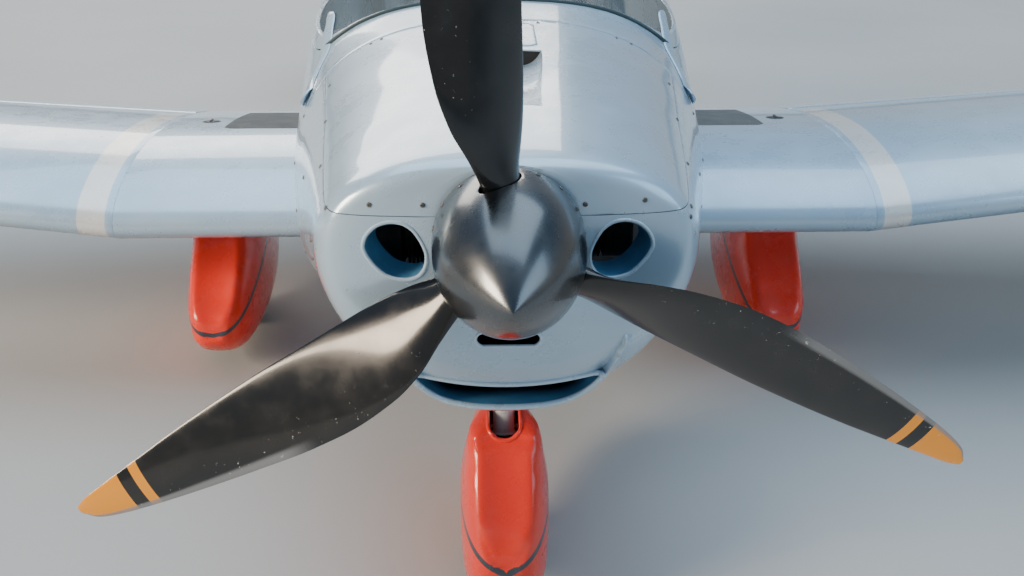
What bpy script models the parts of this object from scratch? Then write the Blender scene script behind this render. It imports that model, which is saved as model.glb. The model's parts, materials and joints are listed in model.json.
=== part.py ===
import math

import bmesh
import bpy
from mathutils import Matrix, Vector

for old in list(bpy.data.objects):
    bpy.data.objects.remove(old)

# Driving sizes, in metres. s is the distance aft of the propeller blades' plane.
wingSpan = 9.0
hubHeight = 1.05
bladeRadius = 0.85
spinnerRadius = 0.1175
spinnerLength = 0.26
spinnerBack = 0.045
spinnerWall = 0.004
cowlGap = 0.015
cowlWall = 0.008
cabinWall = 0.010
tailWall = 0.005
canopyWall = 0.010
canopyGap = 0.006
canopyHingeS = 1.05
canopyHingeZ = 1.02
touchGap = 0.0003
pinRadius = 0.005
axleRadius = 0.010
legRadius = 0.0235
firewallS = 1.0
engineDrop = 0.31
panelDrop = 0.008
canopyRearS = 2.90
sillHeight = 1.09
floorTop = 0.512
tailEndS = 5.80
wingLeadS = 1.37
wingLeadZ = 0.565
wingChord = 1.45
wingTipChord = 0.90
wingTipSweep = 0.17
wingThick = 0.150
wingTipThick = 0.120
wingCamber = 0.03
wingIncidence = 2.0
wingKinkX = 1.10
wingDihedral = 5.5
wingSkin = 0.006
hingeShare = 0.74
tipCapX = 4.28
flapEndX = 2.62
surfaceGap = 0.008
mainAxleS = 1.95
mainAxleX = 0.885
fairNosePower = 0.31
fairTailPower = 0.55
mainTyreRadius = 0.175
mainTyreWidth = 0.105
noseAxleS = 0.60
noseTyreRadius = 0.160
noseTyreWidth = 0.100
rimRadius = 0.085
rakeAngle = 14.0
tieDownX = 1.04
tieDownS = 1.83
tieDownZ = 0.445
tailLugS = 5.50
tailLugZ = 0.855
tailSpan = 2.70
tailLeadS = 5.08
tailHeight = 1.075
tailChord = 0.74
tailTipChord = 0.52
elevatorShare = 0.62
finTopZ = 1.96
rudderTailS = 6.20
overallLength = rudderTailS + spinnerLength - spinnerBack
shiftY = (rudderTailS - (spinnerLength - spinnerBack)) / 2

# Body sections: s, half width, height of the widest line, bottom, top, power of the upper and lower curve
bodyRows = (
    (0.060, 0.150, 1.045, 0.905, 1.166, 2.0, 2.0),
    (0.068, 0.235, 1.040, 0.862, 1.168, 2.1, 2.0),
    (0.082, 0.283, 1.030, 0.812, 1.171, 2.3, 2.0),
    (0.110, 0.304, 1.015, 0.768, 1.174, 2.4, 2.0),
    (0.150, 0.318, 1.000, 0.722, 1.177, 2.4, 2.0),
    (0.220, 0.332, 0.985, 0.655, 1.181, 2.45, 1.95),
    (0.350, 0.360, 0.950, 0.590, 1.188, 2.5, 1.85),
    (0.550, 0.402, 0.900, 0.525, 1.196, 2.5, 1.9),
    (0.800, 0.456, 0.820, 0.472, 1.205, 2.6, 2.2),
    (1.000, 0.502, 0.760, 0.450, 1.213, 2.6, 2.7),
    (1.180, 0.527, 0.750, 0.438, 1.230, 2.6, 3.0),
    (1.280, 0.537, 0.750, 0.434, 1.300, 2.5, 3.0),
    (1.400, 0.545, 0.750, 0.431, 1.400, 2.4, 3.0),
    (1.550, 0.551, 0.760, 0.430, 1.505, 2.3, 3.0),
    (1.750, 0.554, 0.770, 0.430, 1.605, 2.25, 3.0),
    (2.000, 0.552, 0.780, 0.432, 1.675, 2.2, 3.0),
    (2.250, 0.543, 0.790, 0.438, 1.690, 2.2, 2.9),
    (2.500, 0.524, 0.800, 0.450, 1.665, 2.2, 2.8),
    (2.750, 0.494, 0.820, 0.472, 1.610, 2.2, 2.7),
    (3.000, 0.452, 0.850, 0.505, 1.530, 2.2, 2.6),
    (3.350, 0.388, 0.890, 0.560, 1.410, 2.2, 2.4),
    (3.800, 0.305, 0.940, 0.640, 1.285, 2.1, 2.2),
    (4.400, 0.210, 0.990, 0.745, 1.190, 2.0, 2.0),
    (5.100, 0.130, 1.030, 0.850, 1.145, 2.0, 2.0),
    (tailEndS, 0.062, 1.045, 0.950, 1.125, 2.0, 2.0),
)
# Side line that parts the canopy from the body: s, height
canopyLine = ((1.10, 1.275), (1.20, 1.222), (1.30, 1.150), (1.45, sillHeight), (2.66, sillHeight), (2.78, 1.13), (canopyRearS, 1.24))
# Blade sections: radius, chord, blade angle, thickness, chord centre ahead of the axis
bladeRows = (
    (0.047, 0.050, 60, 0.0500, 0.000),
    (0.095, 0.050, 58, 0.0480, 0.000),
    (0.125, 0.068, 55, 0.0400, 0.010),
    (0.160, 0.104, 50, 0.0320, 0.024),
    (0.210, 0.132, 44, 0.0250, 0.033),
    (0.270, 0.142, 38, 0.0205, 0.035),
    (0.340, 0.144, 32, 0.0175, 0.034),
    (0.430, 0.138, 26, 0.0150, 0.029),
    (0.530, 0.124, 22, 0.0125, 0.022),
    (0.630, 0.104, 19, 0.0105, 0.015),
    (0.720, 0.080, 17, 0.0085, 0.009),
    (0.790, 0.057, 15, 0.0065, 0.003),
    (0.830, 0.038, 14, 0.0050, -0.003),
    (bladeRadius, 0.012, 14, 0.0030, -0.010),
)

paint = ((0.62, 0.66, 0.72), 0.25, 0.4)
glass = ((0.55, 0.62, 0.66), 0.08, 0.0)
black = ((0.02, 0.02, 0.02), 0.2, 0.0)
white = ((0.8, 0.8, 0.78), 0.35, 0.0)
orange = ((0.75, 0.10, 0.03), 0.25, 0.0)
metal = ((0.55, 0.56, 0.57), 0.35, 0.9)
rubber = ((0.025, 0.025, 0.025), 0.8, 0.0)
fabric = ((0.16, 0.15, 0.14), 0.9, 0.0)
dark = ((0.06, 0.06, 0.065), 0.6, 0.0)


def place(s, x, z):
    return Vector((x, s - shiftY, z))


def material(name, look):
    colour, rough, metallic = look
    made = bpy.data.materials.new(name)
    made.use_nodes = True
    shader = made.node_tree.nodes["Principled BSDF"]
    shader.inputs["Base Color"].default_value = (*colour, 1.0)
    shader.inputs["Roughness"].default_value = rough
    shader.inputs["Metallic"].default_value = metallic
    return made


def solid(name, points, faces, look=None, smooth=35, origin=None):
    mesh = bpy.data.meshes.new(name)
    shape = bmesh.new()
    made = [shape.verts.new(p) for p in points]
    for face in faces:
        shape.faces.new([made[i] for i in face])
    bmesh.ops.recalc_face_normals(shape, faces=shape.faces)
    shape.to_mesh(mesh)
    shape.free()
    obj = bpy.data.objects.new(name, mesh)
    bpy.context.collection.objects.link(obj)
    if look:
        mesh.materials.append(material(name + "_paint", look))
        mesh.shade_smooth()
        mesh.set_sharp_from_angle(angle=math.radians(smooth))
    else:
        obj.hide_render = True
        obj.display_type = "WIRE"
    if origin is not None:
        mesh.transform(Matrix.Translation(-origin))
        obj.location = origin
    return obj


def halves(points, a, b, c, d):
    """One four-sided face, or two halves that mirror across the middle plane where it isn't flat."""
    normal = (points[b] - points[a]).cross(points[d] - points[a])
    if normal.length < 1e-12 or abs((points[c] - points[a]).dot(normal.normalized())) < 1e-6:
        return [(a, b, c, d)]
    if points[a].x + points[b].x + points[c].x + points[d].x > 0:
        return [(a, b, c), (a, c, d)]
    return [(a, b, d), (b, c, d)]


def loft(name, rings, look=None, ends=(True, True), smooth=35, origin=None):
    """Closed body through rings of equal length; a ring list that closes on itself has no ends."""
    n = len(rings[0])
    points = [p for ring in rings for p in ring]
    faces = []
    last = len(rings) - 1
    for i in range(last):
        for k in range(n):
            m = (k + 1) % n
            faces += halves(points, i * n + k, i * n + m, (i + 1) * n + m, (i + 1) * n + k)
    if ends[0]:
        faces.append(tuple(range(n)))
    if ends[1]:
        faces.append(tuple(last * n + k for k in range(n)))
    if not ends[0] and not ends[1]:
        for k in range(n):
            m = (k + 1) % n
            faces.append((last * n + k, last * n + m, m, k))
    return solid(name, points, faces, look, smooth, origin)


def shell(name, outer, inner, look=None, openEnds=(True, False), smooth=35, origin=None):
    """Hollow body between two sets of rings, open at the ends named."""
    n = len(outer[0])
    count = len(outer)
    points = [p for ring in outer for p in ring] + [p for ring in inner for p in ring]
    off = count * n
    faces = []
    for start, rows in ((0, len(outer)), (off, len(inner))):
        for i in range(rows - 1):
            for k in range(n):
                m = (k + 1) % n
                a = start + i * n
                faces.append((a + k, a + m, a + n + m, a + n + k))
    lastOuter = (count - 1) * n
    lastInner = off + (len(inner) - 1) * n
    for isOpen, a, b in ((openEnds[0], 0, off), (openEnds[1], lastOuter, lastInner)):
        if isOpen:
            for k in range(n):
                m = (k + 1) % n
                faces.append((a + k, a + m, b + m, b + k))
        else:
            faces.append(tuple(a + k for k in range(n)))
            faces.append(tuple(b + k for k in range(n)))
    return solid(name, points, faces, look, smooth, origin)


def spun(name, profile, centre, axis, look=None, steps=32, origin=None, smooth=35):
    """Body of revolution: profile of (distance along the axis, radius), closed on itself."""
    axis = Vector(axis).normalized()
    side = axis.cross(Vector((0, 0, 1)))
    if side.length < 0.1:
        side = axis.cross(Vector((1, 0, 0)))
    side.normalize()
    up = side.cross(axis)
    points, faces, rows = [], [], []
    for along, radius in profile:
        if radius < 1e-6:
            rows.append([len(points)])
            points.append(centre + axis * along)
            continue
        rows.append(list(range(len(points), len(points) + steps)))
        for k in range(steps):
            turn = 2 * math.pi * k / steps
            points.append(centre + axis * along + side * (radius * math.cos(turn)) + up * (radius * math.sin(turn)))
    for i, row in enumerate(rows):
        nxt = rows[(i + 1) % len(rows)]
        if len(row) == 1 and len(nxt) == 1:
            continue
        for k in range(steps):
            m = (k + 1) % steps
            if len(row) == 1:
                faces.append((row[0], nxt[m], nxt[k]))
            elif len(nxt) == 1:
                faces.append((row[k], row[m], nxt[0]))
            else:
                faces.append((row[k], row[m], nxt[m], nxt[k]))
    return solid(name, points, faces, look, smooth, origin)


def box(name, s, x, z, look=None, origin=None):
    """Box from (s, x, z) pairs of lower and upper limits."""
    rings = [[place(v, x[0], z[0]), place(v, x[1], z[0]), place(v, x[1], z[1]), place(v, x[0], z[1])] for v in s]
    return loft(name, rings, look, origin=origin)


def rod(name, start, end, radius, look=None, steps=16, origin=None):
    length = (end - start).length
    profile = ((0, 0), (0, radius), (length, radius), (length, 0))
    return spun(name, profile, start, end - start, look, steps, origin)


def prism(name, outline, x, look=None):
    """Side outline of (s, z) points, pushed through from x[0] to x[1]."""
    return loft(name, [[place(s, v, z) for s, z in outline] for v in x], look)


def boolean(obj, cutter, how="DIFFERENCE"):
    mod = obj.modifiers.new(how + "_" + cutter.name, "BOOLEAN")
    mod.operation = how
    mod.object = cutter
    mod.solver = "EXACT"
    return obj


def bodyRing(row, inset=0.0, count=40):
    s, half, mid, low, top, upPower, lowPower = row
    ring = []
    for k in range(count):
        turn = 2 * math.pi * (k + 0.5) / count
        c, d = math.cos(turn), math.sin(turn)
        power = upPower if d > 0 else lowPower
        reach = (top - inset - mid) if d > 0 else (mid - low - inset)
        x = (half - inset) * math.copysign(abs(c) ** (2 / power), c)
        z = mid + reach * math.copysign(abs(d) ** (2 / power), d)
        ring.append(place(s, x, z))
    return ring


def rowAt(s):
    for a, b in zip(bodyRows, bodyRows[1:]):
        if a[0] <= s <= b[0]:
            t = (s - a[0]) / (b[0] - a[0])
            return tuple(u + (v - u) * t for u, v in zip(a, b))
    return bodyRows[-1]


def sideX(s, z):
    """Half width of the body at a height above its widest line."""
    _, half, mid, _, top, power, _ = rowAt(s)
    return half * (1 - ((z - mid) / (top - mid)) ** power) ** (1 / power)


def bodyRings(first, last, inset=0.0, count=40):
    rows = [rowAt(first)] + [r for r in bodyRows if first < r[0] < last] + [rowAt(last)]
    return [bodyRing(r, inset, count) for r in rows]


def foil(chord, thick, camber=wingCamber, incidence=wingIncidence, count=12, cut=1.0):
    """Aerofoil loop of (back, up) points from the rear over the top to the nose and back underneath."""
    upper, lower = [], []
    for k in range(count + 1):
        u = cut * (1 - math.cos(math.pi * k / count)) / 2
        t = 5 * thick * (0.2969 * math.sqrt(u) - 0.126 * u - 0.3516 * u**2 + 0.2843 * u**3 - 0.1015 * u**4)
        peak = 0.4
        line = camber / peak**2 * (2 * peak * u - u * u) if u < peak else camber / (1 - peak) ** 2 * (1 - 2 * peak + 2 * peak * u - u * u)
        upper.append((u, line + t))
        lower.append((u, line - t))
    lean = math.radians(incidence)
    loop = list(reversed(upper)) + lower[1:]
    out = []
    for u, v in loop:
        out.append((chord * (u * math.cos(lean) + v * math.sin(lean)), chord * (v * math.cos(lean) - u * math.sin(lean))))
    return out


def foilMiddle(chord, thick, share, camber=wingCamber, incidence=wingIncidence):
    """Middle (back, up) and half thickness of the aerofoil at a share of its chord."""
    loop = foil(chord, thick, camber, incidence, 1, share)
    top, low = Vector(loop[0]), Vector(loop[-1])
    return (top + low) / 2, (top - low).length / 2


def flapLoop(chord, thick, share, camber=wingCamber, incidence=wingIncidence, count=5, core=0.0):
    """Rear part of the aerofoil, with a round nose about its hinge; core gives the loop inside a skin that thick."""
    middle, half = foilMiddle(chord, thick, share, camber, incidence)
    upper, lower = [], []
    for k in range(1, count + 1):
        cut = share + ((0.90 if core else 1.0) - share) * k / count
        loop = foil(chord, thick, camber, incidence, 1, cut)
        upper.append(loop[0])
        lower.append(loop[-1])
    nose = []
    lean = math.radians(90 - incidence)
    for k in range(7):
        turn = lean + math.pi * k / 6
        nose.append((middle.x + half * math.cos(turn), middle.y + half * math.sin(turn)))
    rear = Vector(upper[-1]).lerp(Vector(lower[-1]), 0.5)
    edge = 0.0012
    if core:
        return shrink([upper[-1]] + list(reversed(upper[:-1])) + nose + lower[:-1] + [lower[-1]], core)
    return [(rear.x, rear.y + edge)] + list(reversed(upper[:-1])) + nose + lower[:-1] + [(rear.x, rear.y - edge)]


def disc(chord, thick, share, camber=wingCamber, incidence=wingIncidence):
    """Round (back, up) outline about the hinge, 1 mm inside the skin."""
    middle, half = foilMiddle(chord, thick, share, camber, incidence)
    turns = [2 * math.pi * k / 20 for k in range(20)]
    return [(middle.x + (half - 0.001) * math.cos(a), middle.y + (half - 0.001) * math.sin(a)) for a in turns]


def shrink(loop, amount):
    """Offsets a closed (a, b) loop inwards."""
    n = len(loop)
    area = sum(loop[i][0] * loop[(i + 1) % n][1] - loop[(i + 1) % n][0] * loop[i][1] for i in range(n))
    turn = 1 if area > 0 else -1
    out = []
    for i in range(n):
        (ax, ay), (bx, by), (cx, cy) = loop[i - 1], loop[i], loop[(i + 1) % n]
        n1 = Vector((-(by - ay), bx - ax)).normalized() * turn
        n2 = Vector((-(cy - by), cx - bx)).normalized() * turn
        mid = n1 + n2
        mid = mid / max(mid.dot(n1), 0.45)
        out.append((bx + mid.x * amount, by + mid.y * amount))
    return out


# Whole-body guides for the cuts
bodyGuide = loft("body_guide", bodyRings(0.060, tailEndS, -2 * touchGap))
openLine = [(s, z) for s, z in canopyLine]
canopyGuide = prism("canopy_guide", openLine + [(canopyRearS, 2.3), (openLine[0][0], 2.3)], (-1, 1))
lipS = canopyGap
tubLine = [(s - lipS * 0.7, z - lipS * 0.7) for s, z in openLine[:3]] + [(s, z - lipS) for s, z in openLine[3:5]]
tubLine += [(openLine[5][0] + lipS * 0.7, openLine[5][1] - lipS), (openLine[6][0] + lipS, openLine[6][1] - lipS)]
tubGuide = prism("tub_guide", tubLine + [(canopyRearS + lipS, 2.3), (tubLine[0][0], 2.3)], (-1.1, 1.1))

# Body tub and tail cone, hollow from the firewall to the tail
tub = loft("fuselage", bodyRings(firewallS + touchGap, tailEndS), paint)
insideRows = [rowAt(firewallS + cabinWall)] + [r for r in bodyRows if firewallS + 0.1 < r[0] < tailEndS - 0.3] + [rowAt(tailEndS - 0.3)]
inside = loft("cabin_guide", [bodyRing(r, cabinWall if r[0] < 3.1 else tailWall, 28) for r in insideRows])
trimGuide = loft("trim_guide", [bodyRing(r, cabinWall + 2 * touchGap, 28) for r in insideRows if r[0] < 3.1])
boolean(boolean(tub, inside), tubGuide)
bossX = 0.470
for side in (-1, 1):
    start = place(canopyHingeS, side * (bossX - 0.025), canopyHingeZ)
    boolean(tub, rod("hinge_boss_guide_" + str(side), start, place(canopyHingeS, side * bossX, canopyHingeZ), 0.014, None, 20), "UNION")
rudderFoot = (5.8449, 0.99)
rudderLine = (0.12046, 0.99272)
pinLow = 0.012
seatS, seatZ = rudderFoot[0] - rudderLine[0] * (pinLow + touchGap), rudderFoot[1] - rudderLine[1] * (pinLow + touchGap)
fall = rudderLine[0] / rudderLine[1]
bracket = [(s, seatZ - (s - seatS) * fall) for s in (5.78, seatS + 0.010)]
bracket += [(s, z - 0.008) for s, z in reversed(bracket)]
boolean(tub, prism("rudder_bracket_guide", bracket, (-0.009, 0.009)), "UNION")
boolean(tub, box("tail_lug_guide", (tailLugS - 0.035, tailLugS + 0.035), (-0.005, 0.005), (tailLugZ, 0.95)), "UNION")

# Canopy: one bubble, parted into a frame and a pane
windowLine = [(1.165, 1.33), (1.335, 1.185), (1.475, sillHeight + 0.05), (2.62, sillHeight + 0.05), (2.80, 1.30)]
windowGuide = prism("window_guide", windowLine + [(2.80, 2.3), (windowLine[0][0], 2.3)], (-1.2, 1.2))
canopyInside = loft("canopy_inside", bodyRings(1.10, canopyRearS + 0.05, canopyWall, 40))
for name, look, how in (("canopy_frame", paint, "DIFFERENCE"), ("canopy_glass", glass, "INTERSECT")):
    piece = loft(name, bodyRings(1.12, canopyRearS), look, origin=place(canopyHingeS, 0, canopyHingeZ))
    boolean(piece, canopyGuide, "INTERSECT")
    boolean(piece, canopyInside)
    boolean(piece, windowGuide, how)
shrunk = [(1.165 + 0.0003, 1.33), (1.3353, 1.1853), (1.4753, sillHeight + 0.0503), (2.6197, sillHeight + 0.0503), (2.7997, 1.3003)]
armRows = ((1.026, 1.006, 1.034), (1.034, 0.999, 1.041), (1.075, 0.999, 1.046), (1.16, 1.045, 1.085), (1.25, 1.106, 1.142), (1.29, 1.147, 1.172), (1.312, 1.154, 1.180), (1.345, 1.154, 1.176))
armGuide = loft("arm_guide", bodyRings(1.12, canopyRearS, -2 * touchGap))
for side, tag in ((-1, "right"), (1, "left")):
    rings = []
    for s, low, high in armRows:
        near = (0.4757, 0.4757) if s < 1.1 else [sideX(s, z) + (0.0060 if s < 1.3 else -0.007) for z in (low, high)]
        deep = 0.009 if s < 1.3 else 0.015
        outline = ((near[0], low), (near[0] + deep, low), (near[1] + deep, high), (near[1], high))
        rings.append([place(s, side * x, z) for x, z in outline])
    arm = loft("canopy_arm_" + tag, rings, paint, origin=place(canopyHingeS, 0, canopyHingeZ))
    boolean(arm, armGuide)
    start = place(canopyHingeS, side * 0.480, canopyHingeZ)
    boolean(arm, rod("canopy_pin_guide_" + tag, start, place(canopyHingeS, side * (bossX + touchGap), canopyHingeZ), pinRadius, None, 12), "UNION")
paneGuide = prism("pane_guide", shrunk + [(2.7997, 2.2), (shrunk[0][0], 2.2)], (-1.3, 1.3))
bpy.data.objects["canopy_glass"].modifiers[-1].object = paneGuide

# Cowl, upper and lower, with its inlets
seamHeight = 1.084
scoopRows = ((-0.172, 0.752), (-0.13, 0.728), (-0.07, 0.712), (0, 0.706), (0.07, 0.712), (0.13, 0.728), (0.172, 0.752))
cheekInletX = 0.180
cheekInletZ = 1.018
for name, low, high in (("upper_cowl", seamHeight + touchGap, 1.5), ("lower_cowl", 0.2, seamHeight)):
    cowl = loft(name, bodyRings(0.060, firewallS - touchGap), paint)
    boolean(cowl, loft(name + "_inside", bodyRings(0.078, firewallS + 0.05, cowlWall, 28)))
    boolean(cowl, box(name + "_half", (-0.3, 1.3), (-0.9, 0.9), (low, high)), "INTERSECT")
    hole = spun(name + "_shaft_hole", ((0, 0), (0, 0.075), (0.2, 0.075), (0.2, 0)), place(0.0, 0, hubHeight), (0, 1, 0), None, 28)
    boolean(cowl, hole)
upper = bpy.data.objects["upper_cowl"]
lower = bpy.data.objects["lower_cowl"]
duct = box("duct_guide", (0.62, 0.80), (-0.10, 0.10), (1.10, 1.30))
boolean(upper, duct)
for side in (-1, 1):
    ring = []
    for k in range(20):
        turn = 2 * math.pi * k / 20
        c, d = math.cos(turn), math.sin(turn)
        ring.append((side * cheekInletX + 0.050 * c, cheekInletZ + 0.051 * d))
    tag = "right" if side < 0 else "left"
    boolean(lower, loft("cheek_guide_" + tag, [[place(s, x, z) for x, z in ring] for s in (0.0, 0.30)]))
mouth = [place(0.0, x, z + 0.022) for x, z in scoopRows] + [place(0.0, x, z - 0.020) for x, z in reversed(scoopRows)]
boolean(lower, loft("scoop_guide", [mouth, [p + Vector((0, 0.40, 0)) for p in mouth]]))
boolean(lower, box("slot_guide", (0.0, 0.2), (-0.05, 0.05), (0.845, 0.872)))
boolean(lower, box("leg_slot_guide", (0.50, 0.78), (-0.075, 0.075), (0.3, 0.62)))

# Engine and its fittings
engineLow = hubHeight - engineDrop
engineRows = ((0.24, 0.20, engineLow + 0.03, hubHeight + 0.05), (0.34, 0.25, engineLow, hubHeight + 0.055), (0.80, 0.29, engineLow, hubHeight + 0.06))
engine = loft("engine_block", [[place(s, -w, a), place(s, w, a), place(s, w, b), place(s, -w, b)] for s, w, a, b in engineRows], metal)
boolean(engine, rod("gearbox_guide", place(0.085, 0, hubHeight), place(0.30, 0, hubHeight), 0.045, None, 24), "UNION")
boolean(engine, box("mount_guide", (0.75, firewallS - touchGap), (-0.20, 0.20), (engineLow + 0.04, hubHeight + 0.03)), "UNION")
box("radiator", (0.345, 0.39), (-0.15, 0.15), (engineLow - 0.075, engineLow - touchGap), dark)
rod("exhaust_pipe", place(0.72, 0.16, 0.40), place(0.72, 0.16, engineLow - touchGap), 0.022, metal, 16)
boolean(lower, rod("exhaust_guide", place(0.72, 0.16, 0.35), place(0.72, 0.16, 0.75), 0.030, None, 16))

# Propeller: hub, three blades, spinner and its back plate
hub = place(0, 0, hubHeight)
noseProfile = []
for k in range(9):
    u = (k / 8) ** 0.85
    noseProfile.append((spinnerBack - u * spinnerLength, spinnerRadius * math.sqrt(max(0.0, 1 - u**1.75)) if k else spinnerRadius))
innerProfile = []
for k in range(6):
    u = (k / 5) ** 0.85
    reach = spinnerLength - spinnerWall * 1.6
    innerProfile.append((spinnerBack - u * reach, (spinnerRadius - spinnerWall) * math.sqrt(max(0.0, 1 - u**1.75)) if k else spinnerRadius - spinnerWall))
spinner = spun("spinner", noseProfile + list(reversed(innerProfile)), hub, (0, 1, 0), black, 36, hub)
plate = spun("spinner_plate", ((spinnerBack + touchGap, 0.0303), (spinnerBack + touchGap, spinnerRadius), (spinnerBack + 0.004, spinnerRadius), (spinnerBack + 0.004, 0.0303)), hub, (0, 1, 0), black, 36, hub)
hubBody = spun("propeller_hub", ((-0.045, 0), (-0.045, 0.0465), (spinnerBack, 0.0465), (spinnerBack, 0.03), (0.085 - touchGap, 0.03), (0.085 - touchGap, 0)), hub, (0, 1, 0), metal, 28, hub)
bladeTurn = 3.3
for number in range(3):
    turn = math.radians(bladeTurn + 120 * number)
    rings = []
    for radius, chord, angle, thick, lead in bladeRows:
        pitch = math.radians(angle)
        ring = []
        for k in range(14):
            u = 2 * math.pi * k / 14
            c, d = math.cos(u), math.sin(u)
            power = 1.0 if radius < 0.1 else 1.35
            across = lead + chord / 2 * c
            deep = thick / 2 * math.copysign(abs(d) ** power, d)
            if radius > 0.1 and d > 0:
                deep *= 0.35
            x = -across * math.cos(pitch) - deep * math.sin(pitch)
            y = -across * math.sin(pitch) + deep * math.cos(pitch)
            ring.append(hub + Vector((x * math.cos(turn) - radius * math.sin(turn), y, radius * math.cos(turn) + x * math.sin(turn))))
        rings.append(ring)
    loft("blade_" + str(number + 1), rings, black, origin=hub, smooth=60)
    out = Vector((-math.sin(turn), 0, math.cos(turn)))
    boolean(spinner, rod("root_guide_" + str(number + 1), hub + out * 0.06, hub + out * 0.16, 0.034, None, 24))

# Wings: a flat middle part each side, an outer panel that rises, a tip, a flap and an aileron
def wingAt(x):
    t = max(0.0, (x - wingKinkX) / (wingSpan / 2 - wingKinkX))
    chord = wingChord + (wingTipChord - wingChord) * t
    thick = wingThick + (wingTipThick - wingThick) * t
    return wingLeadS + wingTipSweep * t, wingLeadZ + max(0.0, x - wingKinkX) * math.tan(math.radians(wingDihedral)), chord, thick


def wingRing(x, side, loop):
    s, z, _, _ = wingAt(x)
    return [place(s + back, side * x, z + up) for back, up in loop]


def hingeAt(x, side):
    s, z, chord, thick = wingAt(x)
    middle, half = foilMiddle(chord, thick, hingeShare)
    return place(s + middle.x, side * x, z + middle.y), half


def panelLoops(x):
    _, _, chord, thick = wingAt(x)
    _, half = foilMiddle(chord, thick, hingeShare)
    cut = hingeShare - (half + surfaceGap) / chord
    loop = foil(chord, thick, cut=cut)
    return loop, shrink(loop, wingSkin)


wingGuides = {}
for side, tag in ((-1, "right"), (1, "left")):
    chordLoop = foil(wingChord, wingThick)
    coreLoop = shrink(foil(wingChord, wingThick, cut=0.90), wingSkin)
    inner = 0.40
    root = shell("wing_root_" + tag, [wingRing(x, side, chordLoop) for x in (inner, wingKinkX - touchGap)], [wingRing(x, side, coreLoop) for x in (inner, wingKinkX - wingSkin)], paint, (True, False))
    boolean(root, bodyGuide)
    lugX = sorted((side * (tieDownX - 0.005), side * (tieDownX + 0.005)))
    boolean(root, box("lug_guide_" + tag, (tieDownS - 0.03, tieDownS + 0.03), lugX, (tieDownZ, wingLeadZ - 0.06)), "UNION")
    wingGuides[tag] = loft("wing_guide_" + tag, [wingRing(x, side, [(b, u - touchGap) for b, u in chordLoop]) for x in (inner, wingKinkX)])
    outerLoops = [panelLoops(x) for x in (wingKinkX, tipCapX)]
    shell("wing_panel_" + tag, [wingRing(x, side, lo[0]) for x, lo in zip((wingKinkX, tipCapX), outerLoops)], [wingRing(x, side, lo[1]) for x, lo in zip((wingKinkX, tipCapX - wingSkin), outerLoops)], paint, (True, False))
    rings = []
    for x, scale in ((tipCapX + touchGap, 1.0), (4.40, 0.92), (4.46, 0.78), (wingSpan / 2, 0.45)):
        _, _, chord, thick = wingAt(tipCapX)
        loop = foil(chord, thick)
        rings.append([place(wingAt(tipCapX)[0] + chord * 0.45 * (1 - scale) + b * scale, side * x, wingAt(x)[1] + u * scale) for b, u in loop])
    loft("wing_tip_" + tag, rings, paint)
    for name, first, last in (("flap_", wingKinkX + 0.02, flapEndX), ("aileron_", flapEndX + 0.012, tipCapX - 0.012)):
        rings = [wingRing(x, side, flapLoop(wingAt(x)[2], wingAt(x)[3], hingeShare)) for x in (first, last)]
        cores = [wingRing(x, side, flapLoop(wingAt(x)[2], wingAt(x)[3], hingeShare, core=0.004)) for x in (first, last - 0.004)]
        piece = shell(name + tag, rings, cores, paint, (True, False), origin=hingeAt((first + last) / 2, side)[0])
        if name == "flap_":
            ends = (first + 0.003, wingKinkX + pinRadius * 0.13)
            plates = [wingRing(x, side, disc(wingAt(x)[2], wingAt(x)[3], hingeShare)) for x in (first + 0.0004, first + 0.0044)]
            boolean(piece, loft(name + "plate_guide_" + tag, plates), "UNION")
        else:
            ends = (last - 0.002, tipCapX - pinRadius * 0.13)
        boolean(piece, rod(name + "pin_guide_" + tag, hingeAt(ends[0], side)[0], hingeAt(ends[1], side)[0], pinRadius, None, 12), "UNION")

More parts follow.
